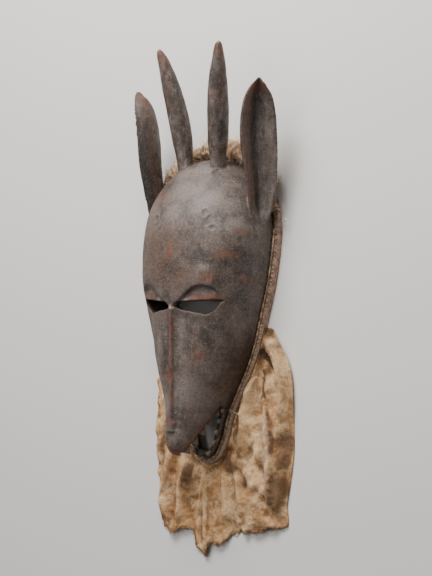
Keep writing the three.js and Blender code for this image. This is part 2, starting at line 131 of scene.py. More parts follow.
EAR_OUTER = [(1.03, 0.3), (0.9, 0.75), (0.62, 1), (0.32, 0.95), (0.1, 0.6), (0.01, 0.2)]
BINDING = {
    "width": 0.0044, "height": RIM_LIFT - TOUCH_GAP, "offset": 0.0026, "crown_gap": 0.067, "square": 0.75,
}
CORD = {"radius": 0.001, "offset": 0.0017, "above": 0.0013, "end_y": 0.262}
BUNCH = {"radius": 0.0115, "offset": 0.013, "half_span": 0.064}
CLOTH_OUTLINE = [
    (-0.07, 0.126), (-0.078, 0.108), (-0.08, 0.09), (-0.079, 0.066), (-0.081, 0.042), (-0.08, 0.02),
    (-0.076, -0.011), (-0.069, -0.032), (-0.066, -0.058), (-0.066, -0.072), (-0.046, -0.082),
    (-0.023, -0.077), (-0.013, -0.095), (0.0015, -0.1045), (0.0075, -0.087), (0.0205, -0.091),
    (0.038, -0.077), (0.063, -0.071), (0.082, -0.07), (0.108, -0.059), (0.107, -0.036),
    (0.11, -0.01), (0.1125, 0.02), (0.111, 0.05), (0.11, 0.077), (0.1065, 0.103), (0.0985, 0.123),
    (0.0865, 0.14), (0.0775, 0.1535),
]
CLOTH_LEFT_END = 0.126
CLOTH_RIGHT_END = 0.156

# The camera of the photograph: turned round the mask's own length, leaning back, and how far off
CAMERA_TURN = math.radians(38)
CAMERA_LEAN = math.radians(4.5)
CAMERA_DISTANCE = 1.4871
CAMERA_AIM = Vector((0.0014, 0.19775, 0))
IMAGE_HEIGHT = 576
FOCAL_PIXELS = 1316
SENSOR = 36


# Numbers


def profile(pairs):
    """A smooth function through (position, value) pairs."""
    places = np.array([p[0] for p in pairs], float)
    values = np.array([p[1] for p in pairs], float)
    before = np.maximum(np.arange(len(pairs)) - 1, 0)
    after = np.minimum(np.arange(len(pairs)) + 1, len(pairs) - 1)
    slopes = (values[after] - values[before]) / (places[after] - places[before])

    def at(x):
        x = np.clip(x, places[0], places[-1])
        i = np.clip(np.searchsorted(places, x, side="right") - 1, 0, len(pairs) - 2)
        run = places[i + 1] - places[i]
        t = (x - places[i]) / run
        rise = t * t * (3 - 2 * t)
        bend = slopes[i] * t * (1 - t) ** 2 - slopes[i + 1] * t * t * (1 - t)
        return values[i] + (values[i + 1] - values[i]) * rise + run * bend

    return at


def mix(a, b, t):
    """The value at a share t of the way from a to b."""
    return a + (b - a) * t


def smooth(v, low, high):
    """0 up to low, and rising smoothly to 1 at high."""
    t = np.clip((v - low) / (high - low), 0, 1)
    return t * t * (3 - 2 * t)


def flattened(wave, power):
    """A sine or cosine made squarer or flatter by a power, with its sign kept."""
    return np.sign(wave) * np.abs(wave) ** power


def chance(cells, seed):
    """A fixed value from 0 to 1 for each whole-numbered cell."""
    c = cells.astype(np.int64).astype(np.uint32)
    h = c[..., 0] * np.uint32(374761393) + c[..., 1] * np.uint32(668265263)
    h = h + c[..., 2] * np.uint32(2246822519) + np.uint32(seed * 3266489917 % 2**32)
    h = (h ^ (h >> np.uint32(13))) * np.uint32(1274126177)
    h = (h ^ (h >> np.uint32(15))) * np.uint32(2654435761)
    return (h ^ (h >> np.uint32(16))).astype(float) / 2**32


def rough(points, size, seed=0, octaves=1):
    """Smooth noise from -1 to 1 at the points, with lumps of about that size along x, y and z."""
    total = np.zeros(len(points))
    weight = 1.0
    scaled = np.asarray(points, float) / np.asarray(size, float)
    for octave in range(octaves):
        cell = np.floor(scaled)
        t = scaled - cell
        t = t * t * (3 - 2 * t)
        value = np.zeros(len(points))
        for corner in np.ndindex(2, 2, 2):
            share = np.prod(np.where(corner, t, 1 - t), axis=1)
            value += share * chance(cell + np.array(corner), seed + 31 * octave)
        total += weight * (2 * value - 1)
        weight *= 0.5
        scaled = scaled * 2.03 + 7.7
    return total / (2 - 2 * weight)


def fading(v, low, high):
    """1 up to low, and falling smoothly to 0 at high."""
    return 1 - smooth(v, low, high)


def bell(distance, reach):
    """1 at no distance, and fading out smoothly beyond the reach."""
    return np.exp(-((distance / reach) ** 2))


def strongest(*layers):
    """The highest of several values at each point."""
    return np.maximum.reduce(layers)


def spots(places, marks):
    """How strongly soft round marks cover each place. A mark is (x, y, half width, half length, strength)."""
    cover = np.zeros(len(places))
    for x, y, across, tall, strength in marks:
        far = ((places[:, 0] - x) / across) ** 2 + ((places[:, 1] - y) / tall) ** 2
        cover = np.maximum(cover, strength * np.exp(-far))
    return cover


# Curves


def spline(points, shares):
    """Places on a smooth curve through the points, at shares of the way counted by its points."""
    points = np.asarray(points, float)
    padded = np.vstack([2 * points[0] - points[1], points, 2 * points[-1] - points[-2]])
    place = np.clip(np.asarray(shares, float), 0, 1) * (len(points) - 1)
    i = np.minimum(place.astype(int), len(points) - 2)
    t = (place - i)[:, None]
    a, b, c, d = padded[i], padded[i + 1], padded[i + 2], padded[i + 3]
    gap = [np.sqrt(np.linalg.norm(q - p, axis=1))[:, None] for p, q in ((a, b), (b, c), (c, d))]
    start = ((b - a) / gap[0] - (c - a) / (gap[0] + gap[1]) + (c - b) / gap[1]) * gap[1]
    end = ((c - b) / gap[1] - (d - b) / (gap[1] + gap[2]) + (d - c) / gap[2]) * gap[1]
    cubic = 2 * b - 2 * c + start + end
    square = -3 * b + 3 * c - 2 * start - end
    return ((cubic * t + square) * t + start) * t + b


def travelled(line):
    """Distance from the start of a line of points to each of them."""
    return np.concatenate([[0], np.cumsum(np.linalg.norm(np.diff(line, axis=0), axis=1))])


def along(line, shares):
    """Places on a line of points, at shares of its length."""
    line = np.asarray(line, float)
    passed = travelled(line)
    wanted = np.asarray(shares, float) * passed[-1]
    return np.stack([np.interp(wanted, passed, line[:, k]) for k in range(3)], axis=1)


def unit(vectors):
    return vectors / np.maximum(np.linalg.norm(vectors, axis=-1, keepdims=True), 1e-12)


def sections_along(centres, section):
    """Rings square to a line of centres. section is an array (rings, points, 2) of sideways and forward."""
    ahead = unit(np.gradient(centres, axis=0))
    sideways = unit(np.cross([0.0, 0.0, 1.0], ahead))
    forward = np.cross(ahead, sideways)
    return (
        centres[:, None]
        + section[..., 0:1] * sideways[:, None]
        + section[..., 1:2] * forward[:, None]
    )


def circle(sides, radius):
    angle = np.linspace(0, 2 * math.pi, sides, endpoint=False)
    return np.stack([radius * np.cos(angle), radius * np.sin(angle)], axis=1)


# Meshes


def placed(name, data):
    """A new object in the scene."""
    obj = bpy.data.objects.new(name, data)
    bpy.context.scene.collection.objects.link(obj)
    return obj


def mesh_object(name, points, faces, edges=()):
    mesh = bpy.data.meshes.new(name)
    mesh.from_pydata([tuple(p) for p in points], edges, faces)
    return placed(name, mesh)


def tidy(obj, merge=1e-6):
    """Merges doubled points and turns the faces outwards."""
    bm = bmesh.new()
    bm.from_mesh(obj.data)
    bmesh.ops.remove_doubles(bm, verts=bm.verts, dist=merge)
    bmesh.ops.dissolve_degenerate(bm, edges=bm.edges, dist=merge / 2)
    bmesh.ops.recalc_face_normals(bm, faces=bm.faces)
    bm.to_mesh(obj.data)
    bm.free()
    return obj


def loft(name, rings, caps=(True, True)):
    """A body through rings of points, closed at each end that has a cap."""
    count, size = rings.shape[:2]
    here = np.arange(size)
    beside = (here + 1) % size
    faces = []
    for ring in range(count - 1):
        a = ring * size
        b = a + size
        faces += [(a + i, a + j, b + j, b + i) for i, j in zip(here, beside)]
    if caps[0]:
        faces.append(tuple(reversed(range(size))))
    if caps[1]:
        faces.append(tuple(range((count - 1) * size, count * size)))
    return tidy(mesh_object(name, rings.reshape(-1, 3), faces))


def plain_mesh(obj):
    """Replaces the object's mesh by the result of its modifiers."""
    bpy.context.view_layer.update()
    made = bpy.data.meshes.new_from_object(obj.evaluated_get(bpy.context.evaluated_depsgraph_get()))
    made.name = obj.name
    obj.modifiers.clear()
    obj.data = made
    return obj


def shaped(obj, kind, **settings):
    """Runs one modifier on the object and keeps the result as its plain mesh."""
    modifier = obj.modifiers.new(kind.lower(), kind)
    for name, value in settings.items():
        setattr(modifier, name, value)
    return plain_mesh(obj)


def combine(obj, other, operation):
    """Joins, cuts or keeps what is common with another closed body, which is used up."""
    shaped(obj, "BOOLEAN", operation=operation, solver="MANIFOLD", object=other)
    bpy.data.objects.remove(other)
    return obj


def join(name, objects):
    """One mesh object from several."""
    bm = bmesh.new()
    for obj in objects:
        bm.from_mesh(obj.data)
    mesh = bpy.data.meshes.new(name)
    bm.to_mesh(mesh)
    bm.free()
    for obj in objects:
        bpy.data.objects.remove(obj)
    return placed(name, mesh)


def points_of(obj):
    co = np.zeros(len(obj.data.vertices) * 3)
    obj.data.vertices.foreach_get("co", co)
    return co.reshape(-1, 3)


def normals_of(obj):
    normal = np.zeros(len(obj.data.vertices) * 3)
    obj.data.vertex_normals.foreach_get("vector", normal)
    return normal.reshape(-1, 3)


def move_points(obj, points):
    obj.data.vertices.foreach_set("co", np.asarray(points, np.float32).ravel())
    obj.data.update()


def rest_on_floor(obj):
    """Lifts any point that would lie under the floor."""
    points = points_of(obj)
    points[:, 2] = np.maximum(points[:, 2], FLOOR)
    move_points(obj, points)
    return obj


def neighbour_mean(obj, values):
    """The mean of a value over the points that an edge joins to each point."""
    edges = np.zeros(len(obj.data.edges) * 2, int)
    obj.data.edges.foreach_get("vertices", edges)
    a, b = edges.reshape(-1, 2).T
    total = np.zeros_like(values)
    np.add.at(total, a, values[b])
    np.add.at(total, b, values[a])
    count = np.bincount(np.concatenate([a, b]), minlength=len(values))
    return total / np.maximum(count, 1)[:, None]


def bulge(obj, steps=5):
    """How far each point stands proud of its surroundings, in metres. Grooves are negative."""
    points = points_of(obj)
    mean = points
    for _ in range(steps):
        mean = neighbour_mean(obj, mean)
    return np.sum((points - mean) * normals_of(obj), axis=1)


def paint(obj, name, values):
    """Stores a value for each point, for the material to read."""
    attribute = obj.data.attributes.new(name, "FLOAT", "POINT")
    attribute.data.foreach_set("value", np.asarray(values, np.float32))


def place_in_frame(obj):
    """Carries a mesh from the mask's own places into the frame."""
    obj.data.transform(Matrix.Translation(FACE_ORIGIN))
    obj.data.update()
    return obj


def finish_piece(obj, finish, replaces=None):
    """Gives a piece its material and hands it to the frame."""
    obj.data.materials.clear()
    obj.data.materials.append(finish)
    obj.data.shade_smooth()
    place_in_frame(obj)
    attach(obj, "root")
    if replaces:
        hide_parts(replaces)
    return obj


# The wooden face


CHEEK_WIDTH = profile(CHEEK_PLACES)
MIDLINE_DEPTH = profile(MIDLINE_PLACES)
SQUARENESS = profile(SQUARENESS_PLACES)
HORN_RADIUS = profile(HORN_PLACES)


def half_width(y):
    """Half the width of the face at the rim."""
    t = np.clip((y - WIDEST_Y) / (CROWN_Y - WIDEST_Y), 0, 1)
    return np.where(y <= WIDEST_Y, CHEEK_WIDTH(y), HALF_WIDTH * np.sqrt(1 - t * t))


def midline_depth(y):
    """How far the face stands out along its middle."""
    t = np.clip((y - FOREHEAD_Y) / (CROWN_Y - FOREHEAD_Y), 0, 1)
    fall = (1 - t**CROWN_POWER) ** (1 / CROWN_POWER)
    return np.where(y <= FOREHEAD_Y, MIDLINE_DEPTH(y), FOREHEAD_DEPTH * fall)


def brow_line(x):
    """Height of the brow's edge across the face."""
    away = np.minimum(1, np.abs(np.abs(x) - BROW["x"]) / BROW["spread"])
    return BROW["y"] - BROW["drop"] / 2 * (1 - np.cos(math.pi * away))


def recess(x, y):
    """How far the face is cut back under the brow."""
    x = np.abs(x)
    temple = fading(x, *TEMPLE)
    across = smooth(x, BRIDGE["from"], BRIDGE["to"]) * temple
    lid = mix(LID["slit"], LID["recess"], np.clip((y - LID["top"]) / (brow_line(x) - LID["top"]), 0, 1))
    cheek = CHEEK["recess"] * smooth(y, CHEEK["foot"], CHEEK["top"])
    return mix(BRIDGE["share"], 1, across) * mix(cheek, lid, smooth(y, LID["bottom"], LID["top"])) * temple


def face_point(y, angle, below):
    """A point of the face's outside, at a height and an angle round its section."""
    power = 2 / SQUARENESS(y)
    across = flattened(np.cos(angle), power)
    forward = np.maximum(0, np.sin(angle)) ** power
    x = half_width(y) * across
    inward = (recess(x, y) if below else 0) * np.minimum(1, forward * 3)
    z = np.maximum(0, midline_depth(y) * forward - inward)
    return np.stack([x - inward * across * 0.6, y, z], axis=-1)


def face_block():
    """The outside of the face, with its step under the brow, as a closed block."""
    angle = np.linspace(0, math.pi, 190)
    middle = np.full_like(angle, BROW["y"] - BROW["drop"] / 2)
    brow = brow_line(face_point(middle, angle, False)[:, 0])
    lower = np.linspace(0, 1, 150) ** 1.3
    upper = 1 - (1 - np.linspace(0, 1, 110)) ** 1.9
    rows = [face_point(mix(CHIN_Y, brow - BROW["edge"], t), angle, True) for t in lower]
    rows += [face_point(mix(brow, CROWN_Y, t), angle, False) for t in upper]
    return loft("block", np.array(rows), (True, False))


def hollow_size(y):
    """Half width and depth of the hollow behind the face."""
    thick = smooth(y, HOLLOW["thin_y"], HOLLOW["thick_y"])
    wide = half_width(y) - WALL * mix(HOLLOW["side"], 1, thick)
    deep = midline_depth(y) - CHEEK["recess"] - WALL * mix(HOLLOW["front"], 1, thick)
    return np.maximum(HOLLOW["narrowest"], wide), np.maximum(HOLLOW["shallowest"], deep)


def face_hollow():
    """The hollow behind the face, to be cut out of the block."""
    angle = np.linspace(0, math.pi, 70)
    rings = []
    for y in np.linspace(HOLLOW["bottom"], HOLLOW_TOP, 90):
        wide, deep = hollow_size(y)
        x = wide * flattened(np.cos(angle), HOLLOW["square"])
        z = deep * np.maximum(0, np.sin(angle)) ** HOLLOW["square"]
        arch = np.stack([x, np.full_like(x, y), z], axis=1)
        feet = [[side * wide, y, -HOLLOW["below"]] for side in (1, -1)]
        rings.append(np.vstack([feet[0], arch, feet[1]]))
    return loft("hollow", np.array(rings))


def nose_ridge():
    """The thin ridge down the nose, flared at its tip."""
    rings = []
    for y in np.linspace(NOSE["tip"], NOSE["top"], 90):
        flare = fading(y, NOSE["tip"] + NOSE["flare_from"], NOSE["tip"] + NOSE["flare_to"])
        wide = mix(NOSE["half"], NOSE["flare"], flare)
        base = float(face_point(np.array([y]), np.array([math.pi / 2]), True)[0, 2])
        top = base + NOSE["height"]
        foot = [(1, base - NOSE["root"]), (1, base - 0.0006)]
        side = foot + [(0.72, mix(base, top, 0.55)), (0.42, top - 0.0002)]
        outline = side + [(0, top + 0.0003)] + [(-u, z) for u, z in reversed(side)]
        rings.append([(u * wide, y, z) for u, z in outline])
    return loft("ridge", np.array(rings))


def eye_cutter(side):
    """The slit of one eye, wider inwards towards the nose."""
    rings = []
    for z, flare in EYE_DEPTHS:
        ring = []
        for x, y in EYE_SLIT:
            towards_nose = flare * EYE_FLARE["shift"] * fading(x, EYE_FLARE["from"], EYE_FLARE["to"])
            ring.append((side * (x - towards_nose), y, z))
        rings.append(ring)
    return loft("slit", np.array(rings))


def upper_lip(y):
    """Height of the upper lip's edge along the mouth."""
    way = (MOUTH["corner_y"] - y) / (MOUTH["corner_y"] - MOUTH["tip_y"])
    return mix(MOUTH["corner_z"], MOUTH["tip_z"], way)


def gape_cutter():
    """The open mouth, as a wedge with a rounded corner."""
    beyond, half = -0.02, 0.06
    corner = np.array([MOUTH["corner_y"], MOUTH["corner_z"]])
    start = np.array([MOUTH["corner_y"] - MOUTH["run"], MOUTH["lower"]])
    pull = np.array([MOUTH["corner_y"] - MOUTH["run"] / 4, MOUTH["lower"] + 0.001])
    curve = [(1 - t) ** 2 * start + 2 * t * (1 - t) * pull + t * t * corner for t in np.linspace(0, 1, 12)]
    wedge = [(beyond, upper_lip(beyond)), (beyond, MOUTH["lower"])] + [tuple(p) for p in curve]
    rings = [[(x, y, z) for y, z in wedge] for x in (-half, half)]
    return loft("gape", np.array(rings))


def lip_curve(lip_height):
    """Where a lip crosses the middle of the wall, from one corner of the mouth to the other."""
    y = np.linspace(MOUTH["corner_y"] - 0.006, 0, 60)
    z = lip_height(y)
    deep = midline_depth(y) - TOOTH["inset"]
    wide = half_width(y) - TOOTH["inset"]
    stop = np.nonzero((z >= deep) | (wide <= 0.001))[0]
    keep = slice(0, stop[0] if len(stop) else len(y))
    square = SQUARENESS(y)
    with np.errstate(invalid="ignore"):
        x = wide * (1 - (z / deep) ** square) ** (1 / square)
    half = np.stack([x, y, z], axis=1)[keep]
    return np.vstack([half, (half * [-1, 1, 1])[::-1]])


def teeth(lip_height, point, height):
    """Teeth along a lip, each a flat pyramid with its root in the wood."""
    line = lip_curve(lip_height)
    length = np.linalg.norm(np.diff(line, axis=0), axis=1).sum()
    count = round(length / TOOTH["pitch"])
    made = []
    for t in np.linspace(0, 1, count + 1):
        at, ahead, behind = along(line, [t, min(t + 0.01, 1), max(t - 0.01, 0)])
        forward = unit(ahead - behind)
        across = unit(np.cross(forward, point))
        size = mix(TOOTH["smallest"], 1, math.sin(math.pi * t))
        base = circle(7, TOOTH["half"] * size)
        root = at - point * TOOTH["root"] * size
        peak = root + point * (height + TOOTH["root"]) * size
        ring = root + base[:, :1] * forward + base[:, 1:] * across * TOOTH["flatness"]
        blunt = (ring - root) * TOOTH["tip"]
        made.append(loft("tooth", np.array([ring, mix(ring, peak, TOOTH["waist"]) + blunt, peak + blunt])))
    return made


def horn(side):
    """One curved round horn, thickest near its middle, with a narrow blunt tip."""
    t = np.linspace(0, 1, 400)[:, None]
    a, b, c = [np.array([side * x, y, z]) for x, y, z in HORN]
    axis = (1 - t) ** 2 * a + 2 * t * (1 - t) * b + t * t * c
    shares = np.concatenate([np.linspace(0, 0.95, 90), np.linspace(0.955, 1, 12)])
    section = circle(36, 1)[None] * HORN_RADIUS(shares)[:, None, None]
    return loft("horn", sections_along(along(axis, shares), section))


def ear(side):
    """A leaf with a deep hollow, which runs down into the side of the face."""
    shares = np.linspace(0, 1, 110)
    front = spline(EAR_FRONT_EDGE, shares) * [side, 1, 1]
    back = spline(EAR_BACK_EDGE, shares) * [side, 1, 1]
    chord = back - front
    ahead = unit(np.gradient(front, axis=0)) + unit(np.gradient(back, axis=0))
    behind = unit(np.cross(ahead, chord))
    behind *= np.where(behind[:, 2:] > 0, -1, 1)
    full = np.sqrt(np.minimum(1, np.linalg.norm(chord, axis=1) / EAR_WIDTH))
    scoop = smooth(shares, 0, 0.2)
    inner = spline([(0, 0, 0)] + [(u, v, 0) for u, v in EAR_INNER] + [(1, 0, 0)], np.linspace(0, 1, 26))
    outer = spline([(1, 0, 0)] + [(u, v, 0) for u, v in EAR_OUTER] + [(0, 0, 0)], np.linspace(0, 1, 30)[1:-1])
    rings = []
    for i in range(len(shares)):
        scooped = inner[:, 1:2] * behind[i] * full[i] * scoop[i] * EAR_HOLLOW
        bulging = outer[:, 1:2] * behind[i] * full[i] * EAR_DEPTH
        hollow = front[i] + inner[:, :1] * chord[i] + scooped
        outside = front[i] + outer[:, :1] * chord[i] + bulging
        rings.append(np.vstack([hollow, outside]))
    return loft("ear", np.array(rings))


def carved_body():
    """The whole carving as one closed body."""
    slope = unit(np.array([0, float(upper_lip(0) - upper_lip(0.001)) / 0.001, -1.0]))
    downwards = np.array([0, -slope[1], slope[2]])
    upwards = np.array([0, 0, 1.0])
    block = face_block()
    bite = teeth(upper_lip, downwards, TOOTH["upper"])
    bite += teeth(lambda y: np.full_like(y, MOUTH["lower"]), upwards, TOOTH["lower"])
    kept = []
    for tooth in bite:
        kept.append(combine(tooth, placed("whole", block.data.copy()), "INTERSECT"))
    for added in (nose_ridge(), horn(1), horn(-1), ear(1), ear(-1)):
        combine(block, added, "UNION")
    for cut in (face_hollow(), eye_cutter(1), eye_cutter(-1), gape_cutter()):
        combine(block, cut, "DIFFERENCE")
    for tooth in kept:
        combine(block, tooth, "UNION")
    return block


def inside_share(points):
    """1 on the walls of the hollow behind the face, 0 on the outside."""
    wide, deep = hollow_size(points[:, 1])
    power = 2 / HOLLOW["square"]
    depth = np.maximum(0, points[:, 2])
    reach = (np.abs(points[:, 0]) / (wide + 0.0016)) ** power + (depth / (deep + 0.0016)) ** power
    held = (points[:, 1] > HOLLOW["bottom"] - 0.002) & (points[:, 1] < HOLLOW_TOP + 0.002)
    return np.where(held, fading(reach, 0.98, 1.06), 0)


def is_horn(points):
    """1 on the horns, 0 elsewhere."""
    return smooth(points[:, 1], 0.322, 0.332) * fading(np.abs(points[:, 0]), 0.058, 0.064)


def is_ear(points):
    """1 on the ears, 0 elsewhere."""
    return smooth(points[:, 1], 0.262, 0.29) * smooth(np.abs(points[:, 0]), 0.062, 0.069)


def ear_walls(points):
    """1 on the front wall of each ear's hollow, then 1 on its floor, then 1 on its back wall."""
    x, y, z = np.abs(points[:, 0]), points[:, 1], points[:, 2]
    edges = []
    for places in (EAR_FRONT_EDGE, EAR_BACK_EDGE):
        heights = [p[1] for p in places]
        edges += [np.interp(y, heights, [p[k] for p in places]) for k in (0, 2)]
    front_x, front_z, back_x, back_z = edges
    run_x, run_z = back_x - front_x, back_z - front_z
    chord = np.maximum(np.hypot(run_x, run_z), 0.001)
    share = ((x - front_x) * run_x + (z - front_z) * run_z) / chord**2
    behind = ((x - front_x) * run_z - (z - front_z) * run_x) / chord
    within = smooth(y, 0.268, 0.285) * fading(behind, 0.0175, 0.019) * smooth(share, -0.02, 0.06)
    front = within * fading(share, 0.3, 0.42)
    ground = within * smooth(behind, 0.003, 0.009) * smooth(share, 0.24, 0.36) * fading(share, 0.48, 0.8)
    return front, ground, within * smooth(share, 0.5, 0.6) * fading(share, 0.9, 1)


# Marks on the wood as (x, y, half width, half length, strength)
KNOTS = [
    (0.0364, 0.2731, 0.0026, 0.0032, 1.0),
    (0.0459, 0.2568, 0.0024, 0.0022, 0.7),
    (0.0281, 0.3219, 0.0028, 0.0022, 1.4),
    (-0.028, 0.268, 0.0024, 0.003, 0.8),
]
RED_PATCHES = [
    (-0.0005, 0.2315, 0.0055, 0.0125, 0.95),
    (-0.010, 0.214, 0.007, 0.010, 0.45),
    (0.0448, 0.2035, 0.0085, 0.0048, 1.0),
    (-0.046, 0.203, 0.006, 0.004, 0.6),
    (0.0325, 0.2075, 0.01, 0.008, 0.42),
    (0.058, 0.229, 0.012, 0.007, 0.74),
    (0.067, 0.256, 0.008, 0.006, 0.66),
    (0.069, 0.205, 0.006, 0.008, 0.6),
    (0.015, 0.206, 0.014, 0.016, 0.38),
    (-0.033, 0.292, 0.012, 0.014, 0.56),
    (-0.003, 0.099, 0.0095, 0.013, 0.7),
    (0.03, 0.12, 0.009, 0.008, 0.66),
    (0.0, 0.047, 0.0044, 0.006, 0.95),
    (0.0195, 0.03, 0.008, 0.006, 0.42),
]
# Rubbed grey, with painted light among it: lighter grey laid over the forehead's broad sheen and over the
# muzzle where it faces the light
GREY_AND_LIGHT_PATCHES = [
    (0.04, 0.2145, 0.01, 0.006, 0.8),
    (-0.002, 0.275, 0.02, 0.016, 0.8),
    (0.063, 0.261, 0.011, 0.013, 0.9),
    (0.021, 0.079, 0.016, 0.022, 1.0),
    (-0.008, 0.066, 0.012, 0.018, 0.8),
    (0.006, 0.036, 0.014, 0.014, 0.45),
    (0.006, 0.322, 0.03, 0.012, 0.7),
    (-0.022, 0.13, 0.008, 0.04, 0.5),
    (0.032, 0.283, 0.02, 0.02, 0.95),
    (0.048, 0.259, 0.012, 0.014, 0.75),
    (0.008, 0.30, 0.034, 0.022, 0.7),
    (0.056, 0.282, 0.016, 0.016, 0.6),
    (0.006, 0.262, 0.018, 0.014, 0.5),
    (-0.03, 0.27, 0.026, 0.026, 0.45),
    (0.012, 0.144, 0.006, 0.026, 0.5),
    (-0.012, 0.146, 0.006, 0.024, 0.35),
    (0.036, 0.104, 0.012, 0.02, 0.5),
    (0.018, 0.058, 0.012, 0.016, 0.5),
    (0.018, 0.2, 0.006, 0.004, 0.3),
]
# Soot, with painted shadow among it: the patch at the foot of the near ear, the notch beside the nose tip and
# the darker patches down the face's side towards the near ear, which is in shade
SOOT_AND_SHADE_PATCHES = [
    (0.0, 0.213, 0.022, 0.018, 0.68),
    (0.068, 0.231, 0.008, 0.013, 0.8),
    (0.0585, 0.221, 0.009, 0.008, 0.7),
    (0.021, 0.147, 0.006, 0.014, 0.5),
    (0.0715, 0.268, 0.005, 0.008, 0.7),
    (0.066, 0.206, 0.008, 0.016, 0.6),
    (0.037, 0.14, 0.008, 0.012, 0.75),
    (0.056, 0.13, 0.014, 0.034, 0.4),
    (-0.04, 0.13, 0.02, 0.04, 0.5),
    (0.04, 0.062, 0.012, 0.012, 0.6),
    (0.0045, 0.043, 0.0035, 0.0045, 1.0),
    (-0.056, 0.235, 0.016, 0.02, 0.7),
]
PALE_TIPS = [
    (0.0015, 0.1705, 0.0017, 0.0017, 1.3),
    (0.0424, 0.461, 0.006, 0.004, 0.62),
    (-0.0424, 0.461, 0.006, 0.004, 0.62),
    (0.087, 0.4195, 0.006, 0.003, 0.55),
    (-0.087, 0.4195, 0.006, 0.003, 0.4),
]
BROWN_PATCHES = [
    (-0.002, 0.297, 0.017, 0.01, 0.8),
    (-0.034, 0.235, 0.03, 0.034, 1.0),
    (-0.008, 0.214, 0.022, 0.022, 1.0),
    (0.02, 0.21, 0.014, 0.012, 0.75),
    (-0.046, 0.283, 0.02, 0.026, 0.7),
    (0.004, 0.238, 0.018, 0.018, 0.9),
    (0.012, 0.205, 0.016, 0.016, 1.0),
    (0.05, 0.212, 0.014, 0.012, 0.5),
    (0.066, 0.232, 0.008, 0.016, 0.4),
    (0.028, 0.132, 0.009, 0.03, 0.6),
    (-0.03, 0.12, 0.012, 0.04, 0.5),
    (0.052, 0.165, 0.014, 0.012, 0.4),
    (0.014, 0.04, 0.012, 0.008, 0.4),
]
PITTED = (0.012, 0.238, 0.016, 0.02, 1.0)
SCORE_MARK = {"from": (0.061, 0.1862), "to": (0.0705, 0.1858), "reach": 0.0009, "depth": 0.0004}
KNOT_DEPTH = 0.0014
KNOT_LIP = 0.0006
PIT_DEPTH = 0.0005
CHIP_DEPTH = 0.0006


def lid_band(points):
    """1 along the lower edge of each eyelid."""
    x, y = np.abs(points[:, 0]), points[:, 1]
    lid = EYE_SLIT[:4]
    above = y - np.interp(x, [p[0] for p in lid], [p[1] for p in lid])
    across = smooth(x, 0.018, 0.028) * fading(x, 0.05, 0.06)
    return across * smooth(above, -0.003, 0.0005) * fading(above, 0.0045, 0.0085)


def lid_field(points):
    """1 over each eyelid, between the slit and the brow."""
    x, y = np.abs(points[:, 0]), points[:, 1]
    under = fading(y, brow_line(x) - 0.003, brow_line(x) - 0.0005)
    return smooth(y, 0.1765, 0.179) * under * smooth(x, 0.008, 0.014) * fading(x, 0.05, 0.058)


def lip_band(points):
    """1 along the edge of the upper lip."""
    above = points[:, 2] - upper_lip(points[:, 1])
    low = fading(points[:, 1], MOUTH["corner_y"] - 0.008, MOUTH["corner_y"])
    tip = fading(points[:, 1], 0.0185, 0.0235) * (points[:, 2] > 0.047)
    return np.maximum(smooth(above, -0.0015, 0.0005) * fading(above, 0.003, 0.0065) * low, tip)


def mouth_inside(points):
    """1 in the gape, between the lips and behind the teeth."""
    y, z = points[:, 1], points[:, 2]
    within = (z < upper_lip(y) + 0.0005) * smooth(z, MOUTH["lower"] - 0.002, MOUTH["lower"] + 0.001)
    return within * fading(y, MOUTH["corner_y"] - 0.006, MOUTH["corner_y"])


def tooth_shares(points):
    """How far along a tooth a point of the gape is: for the lower teeth and for the upper ones."""
    y, z = points[:, 1], points[:, 2]
    within = mouth_inside(points) * (y < MOUTH["corner_y"] - 0.004)
    below, above = z - MOUTH["lower"], (upper_lip(y) - z) / 1.24
    lower = within * smooth(below, 0.0008, 0.006) * (below < 0.0112) * (above > 0.001)
    return lower, within * smooth(above, 0.0006, 0.003) * (1 - lower)


def weather_wood(obj, depth):
    """Dents, tool marks, knots and scores, as real relief."""
    points = points_of(obj)
    inside = inside_share(points)
    outside = 1 - inside
    horns, ears = is_horn(points), is_ear(points)
    relief = 0.9 * rough(points, (0.024, 0.034, 0.024), 3, 2) * outside
    relief += 0.35 * rough(points, (0.007, 0.014, 0.007), 9, 2) * outside
    relief += (horns + 0.5 * ears) * rough(points, (0.0055, 0.045, 0.0055), 5)
    relief += (horns + 0.6 * ears) * 0.45 * rough(points, (0.004, 0.007, 0.004), 6, 2)
    relief += 1.6 * (np.abs(rough(points, (0.013, 0.03, 0.013), 17)) - 0.4) * inside
    relief += 0.16 * rough(points, (0.0022, 0.02, 0.0022), 23)
    relief *= depth
    for x, y, across, tall, strength in KNOTS:
        far = np.sqrt(((points[:, 0] - x) / across) ** 2 + ((points[:, 1] - y) / tall) ** 2)
        relief += strength * (KNOT_LIP * bell(far - 1.7, 0.5) - KNOT_DEPTH * bell(far, 1)) * outside
    pitted = spots(points, [PITTED]) * outside
    relief -= PIT_DEPTH * smooth(rough(points, 0.0026, 41), 0.35, 0.8) * pitted
    a, b = np.array(SCORE_MARK["from"]), np.array(SCORE_MARK["to"])
    t = np.clip((points[:, :2] - a) @ (b - a) / ((b - a) @ (b - a)), 0, 1)
    off = np.linalg.norm(points[:, :2] - a - t[:, None] * (b - a), axis=1)
    relief -= SCORE_MARK["depth"] * bell(off, SCORE_MARK["reach"]) * outside
    chips = smooth(rough(points, 0.009, 51), 0.25, 0.8) * smooth(bulge(obj, 3), 0.0001, 0.0004)
    relief -= CHIP_DEPTH * chips
    relief = np.where(points[:, 2] < 0.0012, 0, relief)
    move_points(obj, points + normals_of(obj) * relief[:, None])


